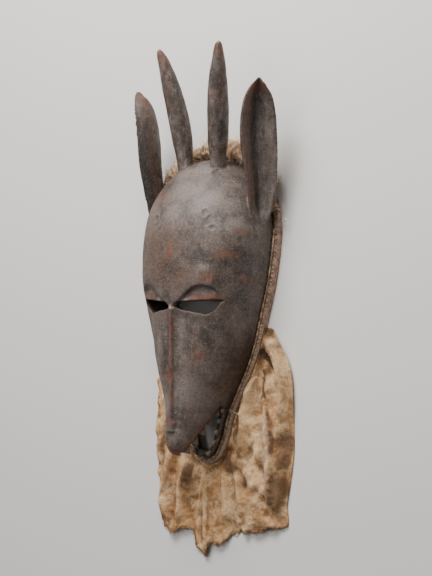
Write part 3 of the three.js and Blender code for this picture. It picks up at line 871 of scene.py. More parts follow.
def paint_wood(obj):
    """Where the wood is worn red, rubbed grey, sooty or pale, where painted light and painted shade fall on
    it, and which walls are inside.
    """
    points = points_of(obj)
    x, y = points[:, 0], points[:, 1]
    inside = inside_share(points)
    outside = 1 - inside
    proud = bulge(obj, 4)
    edge = smooth(proud, 0.00012, 0.00055) * outside
    crease_dirt_and_shade = smooth(-proud, 0.0001, 0.0006) * outside
    horns, ears = is_horn(points), is_ear(points)
    front = smooth(points[:, 2], 0.004, 0.012)
    lid, gape = lid_band(points), mouth_inside(points)
    lower_teeth, upper_teeth = tooth_shares(points)
    teeth_share = np.maximum(lower_teeth, upper_teeth)
    # Painted light and shade in each ear's hollow: the back wall is laid lighter grey as if lit, the floor
    # and front wall darker as if in shade; the front wall's red and brown are its own
    front_wall, shaded_ear_floor, lit_ear_back_wall = ear_walls(points)
    # Painted shade over the far ear: it is darkened, and its red and brown are turned down
    far_ear_shade = ears * (x < 0) * fading(y, 0.37, 0.4)
    fleck = rough(points, (0.0035, 0.007, 0.0035), 62, 2)
    mottle = rough(points, (0.01, 0.024, 0.01), 61, 2)
    ridge = fading(np.abs(x), 0.002, 0.005) * smooth(y, 0.05, 0.06) * fading(y, 0.158, 0.168)
    worn = strongest(
        spots(points, RED_PATCHES) * front,
        (0.6 + 0.5 * fleck) * ridge,
        0.8 * lid,
        0.62 * lip_band(points),
        horns * (0.16 + 0.4 * mottle),
        ears * 0.62 * edge,
        0.4 * edge * front,
    )
    red = strongest(
        worn * (outside * (1 - gape * 0.9)),
        (0.36 + 0.35 * mottle) * front_wall,
        horns * smooth(y, 0.425, 0.45) * (0.55 + 0.3 * mottle) * fading(y, 0.4575, 0.4595),
        ears * smooth(y, 0.396, 0.412) * (0.66 + 0.3 * mottle),
    )
    # Rubbed grey, with painted light from the grey patches and on the back wall of each ear's hollow
    grey = strongest(
        spots(points, GREY_AND_LIGHT_PATCHES) * front,
        0.5 * lid_field(points) * (1 - lid),
        (horns + 0.5 * ears) * (0.24 - 0.3 * mottle + 0.6 * fleck),
        0.62 * upper_teeth,
        (0.5 + 0.4 * mottle) * lit_ear_back_wall,
    )
    # Soot in the hollows and creases, with painted shade from the shade patches, the ear hollows and the far
    # ear. The cut faces in the mouth are darkened too.
    soot = strongest(
        spots(points, SOOT_AND_SHADE_PATCHES) * front,
        0.85 * crease_dirt_and_shade * (1 - teeth_share),
        0.95 * gape * (1 - 0.8 * teeth_share),
        0.7 * shaded_ear_floor,
        (horns + ears) * (0.3 + 0.35 * mottle - 0.4 * fleck),
        far_ear_shade * (0.9 + 0.3 * mottle),
        0.45 * front_wall,
    )
    pale = strongest(spots(points, PALE_TIPS), 0.3 * edge * ears, 0.75 * lower_teeth)
    brown_patches = spots(points, BROWN_PATCHES) * front
    brown = strongest(brown_patches, 0.45 * horns * (0.5 + mottle), 0.8 * front_wall)
    layers = {
        "worn_red": red * (1 - 0.6 * far_ear_shade),
        "rubbed_grey_and_light": grey * outside,
        "soot": soot * outside,
        "pale": pale * outside,
        "brown": brown * (1 - 0.7 * far_ear_shade) * outside,
        "fibrous": np.maximum(horns, 0.7 * ears) * outside,
        "inside": inside,
        "pitted": spots(points, [PITTED]) * outside,
    }
    for name, values in layers.items():
        paint(obj, name, values)


def make_wooden_face(settings):
    """The carving as one surface: evened out, dented, thinned and painted."""
    body = carved_body()
    shaped(body, "REMESH", mode="VOXEL", voxel_size=settings.step)
    shaped(body, "SMOOTH", factor=0.5, iterations=2)
    weather_wood(body, settings.dents)
    triangles = sum(len(p.vertices) - 2 for p in body.data.polygons)
    shaped(body, "DECIMATE", ratio=min(1, settings.triangles / triangles))
    body.name = "worn_wooden_face"
    paint_wood(body)
    return body


# Rim, cord and ties


def rim_line(outwards, left_y, right_y, z):
    """The rim's outline moved outwards, from a height on the left round the chin to one on the right."""
    t = np.linspace(0, 1, 400) ** 1.6
    left, right = mix(CHIN_Y, left_y, t[::-1]), mix(CHIN_Y, right_y, t)
    x = np.concatenate([-half_width(left), half_width(right)])
    line = np.stack([x, np.concatenate([left, right]), np.zeros(len(x))], axis=1)
    line = along(line, np.linspace(0, 1, 1600))
    for _ in range(6):
        line[1:-1] = (line[:-2] + line[1:-1] + line[2:]) / 3
    ahead = unit(np.gradient(line, axis=0))
    moved = line + outwards * np.stack([ahead[:, 1], -ahead[:, 0], ahead[:, 2]], axis=1)
    moved[:, 2] = z
    return moved


def crown_y(x):
    """Height of the rim over the crown, at a place across it."""
    return WIDEST_Y + (CROWN_Y - WIDEST_Y) * math.sqrt(max(0, 1 - (x / HALF_WIDTH) ** 2))


BINDING_TOP = crown_y(BINDING["crown_gap"])
# Turns of the tie at an ear's foot, each as a shift along the rim and a lean
TIE = {
    "turns": [(-0.0022, 0.1), (-0.0004, -0.12), (0.0016, 0.16), (0.0032, -0.05)],
    "share": 0.025, "beyond": 0.0006, "above": 0.0004, "clear": 0.0009, "radius": 0.001,
}
STITCH = {"Length": 0.0056, "Thread": 0.0006, "Seed": 4}
# Loose ends of thread as (start, reach, bow, radius)
THREAD_ENDS = [
    ((0.0855, 0.2715, -0.004), (0.0108, 0.0004, 0.0022), (0.0, 0.0018, 0.001), 0.00095),
    ((0.0775, 0.238, 0.0005), (-0.004, -0.002, 0.0025), (0, 0.001, 0.0008), 0.0004),
    ((0.04, 0.348, 0.008), (0.009, 0.002, 0.004), (0.0, 0.002, 0.001), 0.0006),
    ((0.0415, 0.058, 0.0008), (-0.0075, 0.0045, 0.009), (0.0, 0.0, -0.001), 0.00025),
]


def rim_binding():
    """A strip of hide rolled over a core along the rim, pinched and wrinkled by its stitches."""
    shares = np.linspace(0, 1, 900)
    middle = FLOOR + BINDING["height"] / 2
    centre = along(rim_line(BINDING["offset"], BINDING_TOP, BINDING_TOP, middle), shares)
    turn = np.linspace(0, 2 * math.pi, 30, endpoint=False)
    wide, high = BINDING["width"], BINDING["height"] / 2
    u = wide * flattened(np.cos(turn), BINDING["square"])
    v = high * flattened(np.sin(turn), BINDING["square"])
    section = np.repeat(np.stack([u, v], axis=1)[None], len(shares), axis=0)
    place = np.repeat(centre, len(turn), axis=0) + np.tile(np.stack([u, v, 0 * u], axis=1), (len(shares), 1))
    lumps = 0.06 * rough(place, 0.009, 71, 2) + 0.05 * rough(place, (0.0022, 0.0022, 0.004), 72)
    lumps = lumps.reshape(len(shares), len(turn))
    seam = bell(turn - math.pi * 0.62, 0.16)
    fold = bell(turn - math.pi * 0.93, 0.12)
    section = section * (0.93 + lumps - 0.13 * seam[None] - 0.07 * fold[None])[..., None]
    upper = section[..., 1] > -high * 0.6
    section[..., 1] = np.where(upper, section[..., 1], -high)
    taper = np.minimum(1, np.minimum(shares, 1 - shares) / 0.006 + 0.35)
    section[..., 0] *= taper[:, None]
    obj = loft("rolled_rim_binding", sections_along(centre, section))
    paint(obj, "tan_share", fading(points_of(obj)[:, 1], 0.135, 0.18))
    # Painted shade in the creases of the hide
    paint(obj, "crease_dirt_and_shade", smooth(-bulge(obj, 3), 0.00002, 0.0002))
    return obj


def strand(centres, radius, pitch, turn, sides=8):
    """One ply of a twisted cord."""
    angle = travelled(centres) / pitch * 2 * math.pi + turn
    ahead = unit(np.gradient(centres, axis=0))
    sideways = unit(np.cross([0.0, 0.0, 1.0], ahead) + 1e-9)
    forward = np.cross(ahead, sideways)
    lifted = centres + radius * (np.cos(angle)[:, None] * sideways + np.sin(angle)[:, None] * forward)
    section = np.repeat(circle(sides, radius * 1.05)[None], len(centres), axis=0)
    section = section * (1 + 0.12 * rough(lifted, 0.006, 81))[:, None, None]
    section[[0, -1]] *= 0.5
    return loft("ply", sections_along(lifted, section))


def sewing_cord(settings):
    """The two-ply cord sewn along the front edge of the binding."""
    line = rim_line(CORD["offset"], CORD["end_y"], CORD["end_y"], CORD["above"])
    centres = along(line, np.linspace(0, 1, 1500))
    centres[:, 2] += 0.00035 * rough(centres, 0.018, 82)
    plies = [strand(centres, CORD["radius"] * 0.52, settings.twist, turn) for turn in (0, math.pi)]
    return join("sewing_cord", plies)


def tube(name, centres, radius, sides=8, closed=False):
    """A tube along a line that may turn any way, with its own steady side direction."""
    if closed:
        ahead = unit(np.roll(centres, -1, 0) - np.roll(centres, 1, 0))
    else:
        ahead = unit(np.gradient(centres, axis=0))
    side = unit(np.cross(ahead[0], [0.3, 0.2, 0.93]))
    rings = []
    for at, d, size in zip(centres, ahead, np.broadcast_to(radius, len(centres))):
        side = unit(side - d * (side @ d))
        other = np.cross(d, side)
        ring = circle(sides, size)
        rings.append(at + ring[:, :1] * side + ring[:, 1:] * other)
    if closed:
        rings.append(rings[0])
    return loft(name, np.array(rings), (not closed, not closed))


def tie_loops(side):
    """Cord wound round the binding at the foot of an ear."""
    line = rim_line(BINDING["offset"], BINDING_TOP, BINDING_TOP, FLOOR + BINDING["height"] / 2)
    share = TIE["share"] if side < 0 else 1 - TIE["share"]
    middle, ahead = along(line, [share, share - 0.004])
    forward = unit(ahead - middle)
    sideways = unit(np.cross([0, 0, 1.0], forward))
    turn = np.linspace(0, 2 * math.pi, 50)
    wide = BINDING["width"] + TIE["beyond"]
    high = BINDING["height"] / 2 + TIE["above"]
    plies = []
    for shift, lean in TIE["turns"]:
        centres = (
            middle
            + (shift + lean * wide * np.cos(turn))[:, None] * forward
            + (wide * np.cos(turn))[:, None] * sideways
            + (high * np.sin(turn))[:, None] * np.array([0, 0, 1.0])
        )
        centres[:, 2] = np.maximum(centres[:, 2], FLOOR + TIE["clear"])
        plies.append(tube("loop", centres[:-1], TIE["radius"], closed=True))
    return plies


def loose_thread(start, reach, bow, radius):
    """A short loose end of thread, thinner towards its tip."""
    t = np.linspace(0, 1, 16)
    centres = np.array(start) + t[:, None] * np.array(reach) + np.sin(math.pi * t)[:, None] * np.array(bow)
    return tube("thread", centres, radius * (1 - 0.45 * t))


# The crown bunch

CROWN_FIBRES = {"Length": 0.0075, "Thread": 0.00022, "Lean": 1.0, "Seed": 6}


def crown_bunch():
    """Crumpled hide and fibre gathered round the outside of the crown."""
    x = np.linspace(-BUNCH["half_span"], BUNCH["half_span"], 320)
    y = np.array([crown_y(v) for v in x])
    out = unit(np.stack([x / HALF_WIDTH**2, (y - WIDEST_Y) / (CROWN_Y - WIDEST_Y) ** 2, 0 * x], axis=1))
    line = np.stack([x, y, np.full_like(x, FLOOR + BUNCH["radius"])], axis=1) + BUNCH["offset"] * out
    shares = np.linspace(0, 1, 300)
    centre = along(line, shares)
    turn = np.linspace(0, 2 * math.pi, 56, endpoint=False)
    girth = BUNCH["radius"] * (0.9 + 0.1 * np.sin(23 * shares) * np.cos(9 * shares))
    girth = girth * np.sqrt(np.sin(math.pi * mix(0.12, 0.88, shares)))
    girth = girth * (1 + 0.3 * bell(shares - 0.13, 0.09))
    section = np.stack([np.cos(turn), np.sin(turn)], axis=1)[None] * girth[:, None, None]
    around = [np.tile(wave(turn) * 0.009, len(shares)) for wave in (np.cos, np.sin)]
    place = np.stack([np.repeat(shares * 0.14, len(turn)), *around], axis=1)
    twisted = place + 0.4 * np.roll(place, 1, axis=1)
    folds = 1 - 2 * np.abs(rough(twisted, (0.006, 0.014, 0.014), 91, 2))
    crumple = (0.82 + 0.3 * folds + 0.1 * rough(place, 0.003, 95)).reshape(len(shares), len(turn))
    obj = loft("frayed_crown_bunch", sections_along(centre, section * crumple[..., None]))
    # Painted shade in the folds of the bunch
    paint(obj, "crease_dirt_and_shade", smooth(-bulge(obj, 3), 0.0, 0.00035))
    return obj


# The neck cloth

# Folds of the cloth as it lies: places of the crest, then its reach to each side and its height
FOLDS = [
    ([(0.0665, 0.146), (0.085, 0.134), (0.1, 0.113), (0.106, 0.085), (0.104, 0.05)], 0.0105, 0.017),
    ([(0.0565, 0.104), (0.053, 0.085), (0.0505, 0.062), (0.049, 0.035), (0.048, 0.01)], 0.0075, 0.0115),
    ([(0.0705, 0.118), (0.077, 0.1), (0.079, 0.08)], 0.006, 0.006),
    ([(0.07, 0.062), (0.08, 0.038), (0.087, 0.0), (0.088, -0.045)], 0.0055, 0.0065),
    ([(0.1, 0.03), (0.103, -0.005), (0.1, -0.045)], 0.007, 0.008),
    ([(0.066, 0.03), (0.066, -0.005), (0.063, -0.05)], 0.009, 0.005),
    ([(0.001, -0.006), (0.0, -0.04), (0.0015, -0.092)], 0.0048, 0.0048),
    ([(0.009, -0.004), (0.0115, -0.04), (0.014, -0.082)], 0.0038, 0.0034),
    ([(-0.0075, -0.008), (-0.01, -0.045), (-0.011, -0.085)], 0.0045, 0.004),
    ([(0.056, 0.06), (0.067, 0.03), (0.078, 0.004)], 0.008, 0.006),
    ([(0.046, 0.01), (0.06, -0.01), (0.074, -0.022)], 0.007, 0.005),
    ([(0.02, 0.004), (0.028, -0.03), (0.032, -0.068)], 0.0065, 0.0065),
    ([(0.032, 0.018), (0.047, -0.02), (0.052, -0.066)], 0.007, 0.006),
    ([(-0.03, 0.008), (-0.037, -0.03), (-0.036, -0.07)], 0.0075, 0.0085),
    ([(-0.044, 0.03), (-0.06, -0.012), (-0.058, -0.062)], 0.008, 0.007),
    ([(-0.05, 0.07), (-0.066, 0.04), (-0.072, 0.005)], 0.0085, 0.008),
    ([(-0.062, 0.11), (-0.07, 0.09), (-0.073, 0.06)], 0.006, 0.006),
]
# The edge of the flap beside the cheek, under which the cloth drops away
FLAP_EDGE = [(0.0655, 0.136), (0.074, 0.127), (0.088, 0.1175), (0.0985, 0.1045), (0.1, 0.088)]
FLAP_DROP = 0.012
# The stiff dirty ridge down the right of the cloth, with a painted shadow along its right side
SEAM = [(0.067, 0.088), (0.072, 0.066), (0.081, 0.038), (0.0875, 0.0), (0.088, -0.045), (0.094, -0.063)]
CLOTH_RUN = 0.62
CLOTH_DROP = 0.16
FOLD_LIFT = 1.22
# Heights of the cloth over the floor: where nothing lifts it, at its ends, and where it is sewn on
CLOTH_REST = 0.0016
CLOTH_END = 0.0008
CLOTH_SEWN = 0.0048
# The stains, with some painted shadows among them, and the bright places, rubbed cloth with painted
# highlight, as marks like those on the wood
STAINS_AND_SHADOWS = [
    # Painted shadow: the dark gap beside the chin, where the cloth shows between the teeth
    (-0.029, 0.0155, 0.009, 0.008, 1.3),
    (0.074, 0.149, 0.012, 0.008, 0.8),
    (0.086, 0.131, 0.008, 0.012, 0.62),
    (0.0665, 0.122, 0.008, 0.013, 0.95),
    (0.076, 0.107, 0.008, 0.011, 0.85),
    (0.059, 0.094, 0.0035, 0.012, 0.7),
    (0.1, 0.018, 0.012, 0.026, 1.15),
    (0.097, -0.02, 0.013, 0.026, 1.2),
    # Painted shadow under the chin
    (0.03, 0.002, 0.02, 0.012, 1.0),
    (0.058, -0.014, 0.014, 0.009, 0.75),
    (0.05, -0.05, 0.012, 0.011, 0.6),
    (0.078, -0.06, 0.014, 0.008, 0.85),
    (-0.027, -0.014, 0.01, 0.026, 1.15),
    (-0.056, -0.024, 0.012, 0.016, 0.7),
    (-0.06, 0.03, 0.012, 0.018, 0.6),
    (0.012, 0.014, 0.03, 0.012, 0.95),
    (0.042, 0.048, 0.006, 0.032, 1.0),
    (0.067, 0.086, 0.002, 0.014, 1.3),
    (0.092, -0.062, 0.014, 0.006, 0.9),
    (0.004, -0.098, 0.008, 0.006, 0.7),
    (0.112, 0.07, 0.006, 0.03, 0.45),
]
# Bright places, laid into the crest mask: rubbed pale cloth with painted highlight on it
BRIGHT_PATCHES = [
    (0.056, 0.066, 0.006, 0.028, 1.2),
    (0.058, 0.024, 0.013, 0.018, 1.0),
    (0.033, -0.035, 0.014, 0.018, 1.0),
    (0.07, -0.014, 0.009, 0.012, 0.9),
    (0.096, 0.088, 0.007, 0.03, 0.7),
    (0.0, -0.05, 0.007, 0.03, 0.6),
    (-0.04, 0.006, 0.01, 0.01, 0.7),
]
# The loose fibres of the hem, and the stretch of it that is frayed, as shares of its length
HEM_FIBRES = {"Density": 900000.0, "Length": 0.0054, "Thread": 0.00026, "Lean": 1.2, "Seed": 9}
HEM_FRAYED = (0.27, 0.69)


def far_from(line, places):
    """Distance of each place from a line drawn on the floor, and the share of the way along it."""
    line = along([(x, y, 0) for x, y in line], np.linspace(0, 1, 40))[:, :2]
    nearest = np.full(len(places), 1e9)
    share = np.zeros(len(places))
    for i in range(len(line) - 1):
        a, step = line[i], line[i + 1] - line[i]
        t = np.clip((places - a) @ step / (step @ step), 0, 1)
        off = np.linalg.norm(places - a - t[:, None] * step, axis=1)
        closer = off < nearest
        share = np.where(closer, (i + t) / (len(line) - 1), share)
        nearest = np.minimum(nearest, off)
    return nearest, share


def on_floor(places):
    """The places as points at no height."""
    return np.stack([places[:, 0], places[:, 1], 0 * places[:, 0]], axis=1)


def wandering(places, size, reach, seed, octaves):
    """The places shifted by smooth noise, so that what is laid out on them has uneven edges."""
    shift = [rough(on_floor(places), size, seed + k, octaves) for k in (0, 1)]
    return places + reach * np.stack(shift, axis=1)


def cloth_height(places, t, s, settings):
    """Height of the cloth over the floor. t runs from the rim out to the hem, and s along the rim."""
    flat = on_floor(places)
    x, y = places[:, 0], places[:, 1]
    fanned = np.stack([s * CLOTH_RUN, t * CLOTH_DROP, 0 * s], axis=1)
    askew = np.stack([x + 0.6 * y, y - 0.6 * x, 0 * s], axis=1)
    wavy = wandering(places, 0.022, 0.0022, 101, 2)
    height = np.full(len(places), CLOTH_REST)
    for crest, reach, rise in FOLDS:
        off, share = far_from(crest, wavy)
        swell = smooth(share, 0, 0.25) * (1 - 0.7 * smooth(share, 0.8, 1))
        height += FOLD_LIFT * rise * swell * bell(off, reach)
    broad = rough(fanned, (0.026, 0.2, 1), 111, 2)
    lumps = rough(flat, (0.017, 0.026, 1), 113, 2) + 0.45 * rough(flat, (0.0095, 0.012, 1), 115, 2)
    pleats = rough(fanned, (0.0045, 0.3, 1), 114, 2) * fading(np.abs(x - 0.01), 0.02, 0.045)
    fine = 0.0006 * rough(flat, 0.006, 122, 2) + 0.00035 * rough(flat, 0.0028, 126, 2)
    height += 0.0032 * (broad + 0.25) * (1 - 0.5 * smooth(t, 0.7, 1))
    height += settings.wrinkles * (0.0029 * lumps + 0.0009 * pleats + 0.0012 * rough(askew, 0.014, 121))
    height += settings.wrinkles * fine
    off, share = far_from(FLAP_EDGE, places)
    line = np.interp(-y, [-v for _, v in FLAP_EDGE], [u for u, _ in FLAP_EDGE])
    inner = (x < line) * smooth(1 - share, 0, 0.2) * smooth(share, 0, 0.1)
    height -= FLAP_DROP * inner * bell(off, 0.006)
    off, share = far_from(SEAM, wavy)
    crusted = 1 + 1.3 * rough(flat, 0.006, 124)
    height += 0.0019 * crusted * bell(off, 0.0028) * smooth(share, 0, 0.1)
    height += 0.0035 * smooth(t, 0.94, 1) * (rough(flat, 0.01, 123) + 0.35)
    side = smooth(x, 0.062, 0.085) * smooth(y, -0.055, -0.035)
    height *= 1 - 0.9 * side * smooth(t, 0.78, 1.0)
    ends = smooth(np.minimum(s, 1 - s), 0, 0.035)
    return np.maximum(mix(CLOTH_END, height, ends), 0.0)


def neck_cloth(settings):
    """A gathered sheet: sewn under the rim, falling in folds to a torn hem."""
    gap = BINDING["offset"] + BINDING["width"] + TOUCH_GAP
    inside = rim_line(gap, CLOTH_LEFT_END, CLOTH_RIGHT_END, 0)
    outside = spline([(x, y, 0) for x, y in CLOTH_OUTLINE], np.linspace(0, 1, 1200))
    across = np.linspace(-1, 1, 470)
    shares = 0.5 + 0.5 * np.sign(across) * np.abs(across) ** 1.3
    steps = np.linspace(0, 1, 104)
    start, end = along(inside, shares), along(outside, shares)
    hem_run = np.stack([shares * CLOTH_RUN, 0 * shares, 0 * shares], axis=1)
    torn = 0.8 * rough(hem_run, (0.012, 1, 1), 131, 2) + 0.6 * rough(hem_run, (0.0032, 1, 1), 132, 2)
    reach = 1 - settings.ragged * (0.4 + 0.8 * torn) * fading(end[:, 1], -0.066, -0.05)
    grid = start[:, None] + (end - start)[:, None] * (steps[None, :] * reach[:, None])[..., None]
    places = grid.reshape(-1, 3)[:, :2]
    t, s = np.tile(steps, len(shares)), np.repeat(shares, len(steps))
    height = cloth_height(places, t, s, settings)
    height = np.maximum(height, CLOTH_SEWN * fading(t, 0.0, 0.06))
    points = np.column_stack([places, height + FLOOR + settings.thickness])
    size = len(steps)
    faces = []
    for i in range(len(shares) - 1):
        a = i * size
        faces += [(a + j, a + j + 1, a + size + j + 1, a + size + j) for j in range(size - 1)]
    obj = mesh_object("worn_neck_cloth", points, faces)
    uv = obj.data.uv_layers.new(name="cloth")
    loops = np.zeros(len(obj.data.loops), int)
    obj.data.loops.foreach_get("vertex_index", loops)
    spread = np.column_stack([s * CLOTH_RUN, t * CLOTH_DROP])[loops]
    uv.data.foreach_set("uv", spread.astype(np.float32).ravel())
    return obj, t, places


def dress_cloth(obj, t, places):
    """Stains and painted shadows, painted highlights on the crests, and painted shade in the folds and under
    the flap, as values for the material.
    """
    proud = 0.5 * bulge(obj, 14) + 0.35 * bulge(obj, 60)
    fray = rough(on_floor(places), 0.009, 125, 2)
    warped = wandering(places, 0.017, 0.0075, 127, 3)
    # A dark line just right of the seam ridge: painted shadow on its shaded side
    off, _ = far_from([(x + 0.003, y) for x, y in SEAM], places)
    paint(obj, "stain_and_shadow", strongest(spots(warped, STAINS_AND_SHADOWS), bell(off, 0.0025) * (0.6 + 0.7 * fray)))
    # Painted shade deep under the flap beside the cheek
    off, share = far_from([(x - 0.0045, y - 0.003) for x, y in FLAP_EDGE], places)
    slot_shade = bell(off, 0.0048) * smooth(share, 0.0, 0.1) * fading(share, 0.5, 0.85)
    paint(obj, "slot_shade", smooth(slot_shade, 0.25, 0.75))
    off, share = far_from([(x - 0.005, y) for x, y in SEAM], places)
    flaking = smooth(share, 0.1, 0.3) * fading(share, 0.55, 0.85)
    paint(obj, "flakes", bell(off, 0.007) * (0.7 + fray) * flaking)
    # Painted highlights on the crests of the folds and over the bright places
    paint(obj, "crest", strongest(0.5 * smooth(proud, 0.00005, 0.0008), spots(warped, BRIGHT_PATCHES)))
    # Painted shade in the folds
    paint(obj, "fold", smooth(-proud, 0.0001, 0.0013))
    paint(obj, "hem", smooth(t, 0.93, 1) * fading(places[:, 1], -0.066, -0.05))


# Node trees


def feed(tree, socket, value):
    """Gives a socket another node's output, or a plain value."""
    if isinstance(value, bpy.types.NodeSocket):
        tree.links.new(value, socket)
    else:
        socket.default_value = value


def node(tree, kind, inputs=None, **settings):
    """Adds a node, sets what it has, and gives its inputs a value or another node's output."""
    made = tree.nodes.new(kind)
    for name, value in settings.items():
        setattr(made, name, value)
    for name, value in (inputs or {}).items():
        feed(tree, made.inputs[name], value)
    return made


def maths(tree, operation, a, b=0.0, c=0.0):
    return node(tree, "ShaderNodeMath", {0: a, 1: b, 2: c}, operation=operation).outputs[0]


def ranged(tree, value, low, high, to_low=0.0, to_high=1.0, curve="SMOOTHSTEP"):
    inputs = {"Value": value, "From Min": low, "From Max": high, "To Min": to_low, "To Max": to_high}
    return node(tree, "ShaderNodeMapRange", inputs, interpolation_type=curve).outputs["Result"]


def rgb(value):
    """A colour for a socket: another node's output as it is, and three numbers made opaque."""
    return value if isinstance(value, bpy.types.NodeSocket) else (*value[:3], 1)


def blended(tree, share, a, b, way="MIX"):
    inputs = {0: share, 6: rgb(a), 7: rgb(b)}
    return node(tree, "ShaderNodeMix", inputs, data_type="RGBA", blend_type=way).outputs[2]


def layered(tree, colour, layers):
    """Tints laid over a colour in turn, each as (mask, strength, tint)."""
    for mask, strength, over in layers:
        colour = blended(tree, maths(tree, "MULTIPLY", mask, strength), colour, over)
    return colour


def bumped(tree, layers):
    """The normal under bumps laid over each other in turn, each as (height, strength, distance)."""
    normal = None
    for height, strength, distance in layers:
        inputs = {"Height": height, "Strength": strength, "Distance": distance}
        if normal:
            inputs["Normal"] = normal
        normal = node(tree, "ShaderNodeBump", inputs).outputs["Normal"]
    return normal


def object_coords(tree):
    """Places on the piece, for patterns that keep their size."""
    return node(tree, "ShaderNodeTexCoord").outputs["Object"]


def noise(tree, coords, scale, detail=4.0, roughness=0.55, distortion=0.0):
    inputs = {"Vector": coords, "Scale": scale, "Detail": detail, "Roughness": roughness}
    inputs["Distortion"] = distortion
    return node(tree, "ShaderNodeTexNoise", inputs).outputs["Fac"]


def painted(tree, name):
    """A value stored on the piece by paint."""
    return node(tree, "ShaderNodeAttribute", attribute_name=name, attribute_type="GEOMETRY").outputs["Fac"]


def add_sockets(tree, way, kind, sockets):
    """Adds named sockets of one kind to a group, each with its default if it has one."""
    for label, default in sockets.items():
        socket = tree.interface.new_socket(label, in_out=way, socket_type="NodeSocket" + kind)
        if default is not None:
            socket.default_value = default


def effect_tree(name, inputs, outputs):
    """A shader node group with named values in, each with its default, and named values out."""
    tree = bpy.data.node_groups.new(name, "ShaderNodeTree")
    add_sockets(tree, "INPUT", "Float", inputs)
    add_sockets(tree, "OUTPUT", "Float", dict.fromkeys(outputs))
    return tree, tree.nodes.new("NodeGroupInput").outputs, tree.nodes.new("NodeGroupOutput").inputs


def broken_mask(name):
    """Breaks a soft painted mask up into the ragged patches that wear leaves."""
    inputs = {"Mask": 0.0, "Fineness": 150.0, "Breakup": 0.8, "Softness": 0.2}
    tree, start, end = effect_tree(name, inputs, ["Mask"])
    lumps = noise(tree, object_coords(tree), start["Fineness"], 6.0, 0.68)
    off = maths(tree, "MULTIPLY", maths(tree, "SUBTRACT", lumps, 0.5), start["Breakup"])
    value = maths(tree, "ADD", start["Mask"], off)
    low, high = [maths(tree, way, 0.5, start["Softness"]) for way in ("SUBTRACT", "ADD")]
    shown = ranged(tree, value, low, high)
    present = ranged(tree, start["Mask"], 0.02, 0.12)
    feed(tree, end["Mask"], maths(tree, "MULTIPLY", shown, present))
    return tree


def long_grain(name):
    """Long streaks along the y axis, as wood grain or a pulled fibre shows."""
    tree, start, end = effect_tree(name, {"Fineness": 300.0, "Length": 10.0}, ["Streaks", "Height"])
    squeeze = {"X": 1.0, "Y": maths(tree, "DIVIDE", 1.0, start["Length"]), "Z": 1.0}
    squeeze = node(tree, "ShaderNodeCombineXYZ", squeeze).outputs[0]
    inputs = {0: object_coords(tree), 1: squeeze}
    stretched = node(tree, "ShaderNodeVectorMath", inputs, operation="MULTIPLY").outputs[0]
    streaks = noise(tree, stretched, start["Fineness"], 5.0, 0.6, 0.4)
    fine = noise(tree, stretched, maths(tree, "MULTIPLY", start["Fineness"], 3.1), 3.0, 0.6)
    feed(tree, end["Streaks"], ranged(tree, streaks, 0.3, 0.7))
    feed(tree, end["Height"], maths(tree, "ADD", streaks, maths(tree, "MULTIPLY", fine, 0.5)))
    return tree


def fine_scratches(name):
    """Fine scratches in two directions."""
    tree, start, end = effect_tree(name, {"Fineness": 600.0}, ["Scratches"])
    coords = object_coords(tree)
    marks = []
    for turn in (0.5, 1.75):
        inputs = {"Vector": coords, "Rotation": (0, 0, turn), "Scale": (1, 0.035, 0.5)}
        turned_coords = node(tree, "ShaderNodeMapping", inputs).outputs[0]
        lines = noise(tree, turned_coords, start["Fineness"], 2.0, 0.5, 0.25)
        marks.append(ranged(tree, lines, 0.66, 0.74))
    feed(tree, end["Scratches"], maths(tree, "MAXIMUM", *marks))
    return tree


def dust_specks(name):
    """Pale specks of dust and dried dirt."""
    tree, start, end = effect_tree(name, {"Fineness": 900.0, "Amount": 0.5}, ["Specks"])
    coords = object_coords(tree)
    specks = noise(tree, coords, start["Fineness"], 3.0, 0.7)
    where = noise(tree, coords, maths(tree, "DIVIDE", start["Fineness"], 12.0), 3.0, 0.6)
    shown = maths(tree, "MULTIPLY", ranged(tree, specks, 0.6, 0.7), ranged(tree, where, 0.42, 0.66))
    feed(tree, end["Specks"], maths(tree, "MULTIPLY", shown, start["Amount"]))
    return tree


def plain_weave(name):
    """Crossing threads of a plain weave on the piece's own UV map, in metres."""
    tree, start, end = effect_tree(name, {"Threads": 900.0}, ["Height", "Threads"])
    uv = node(tree, "ShaderNodeUVMap", uv_map="cloth").outputs[0]
    wander = noise(tree, uv, 90.0, 3.0)
    shift = {axis: maths(tree, "MULTIPLY", wander, 0.004) for axis in "XY"}
    inputs = {0: uv, 1: node(tree, "ShaderNodeCombineXYZ", shift).outputs[0]}
    coords = node(tree, "ShaderNodeVectorMath", inputs, operation="ADD").outputs[0]
    parts = node(tree, "ShaderNodeSeparateXYZ", {0: coords}).outputs
    waves = []
    for axis in "XY":
        turn = maths(tree, "MULTIPLY", parts[axis], start["Threads"])
        waves.append(maths(tree, "SINE", maths(tree, "MULTIPLY", turn, 2 * math.pi)))
    both = maths(tree, "MULTIPLY", *waves)
    feed(tree, end["Threads"], maths(tree, "ABSOLUTE", both))
    feed(tree, end["Height"], maths(tree, "ADD", maths(tree, "MULTIPLY", both, 0.5), 0.5))
    return tree


def effect(tree, build, **inputs):
    """A shared effect placed in a material, with its own values. Each effect's group is built once."""
    name = build.__name__.replace("_", " ")
    group = bpy.data.node_groups.get(name) or build(name)
    return node(tree, "ShaderNodeGroup", inputs, node_tree=group).outputs


def broken(tree, mask, fineness, breakup=0.8, softness=0.2):
    """A painted mask broken up into ragged patches."""
    inputs = {"Mask": mask, "Fineness": fineness, "Breakup": breakup, "Softness": softness}
    return effect(tree, broken_mask, **inputs)["Mask"]


# Materials


def material(name):
    """A new material, its node tree and the inputs of its shader."""
    made = bpy.data.materials.new(name)
    made.use_nodes = True
    return made, made.node_tree, made.node_tree.nodes["Principled BSDF"].inputs


def set_surface(tree, shader, colour, roughness, bumps):
    """Feeds a material's colour, roughness and bumps into its shader."""
    feed(tree, shader["Base Color"], colour)
    feed(tree, shader["Roughness"], roughness)
    feed(tree, shader["Normal"], bumped(tree, bumps))


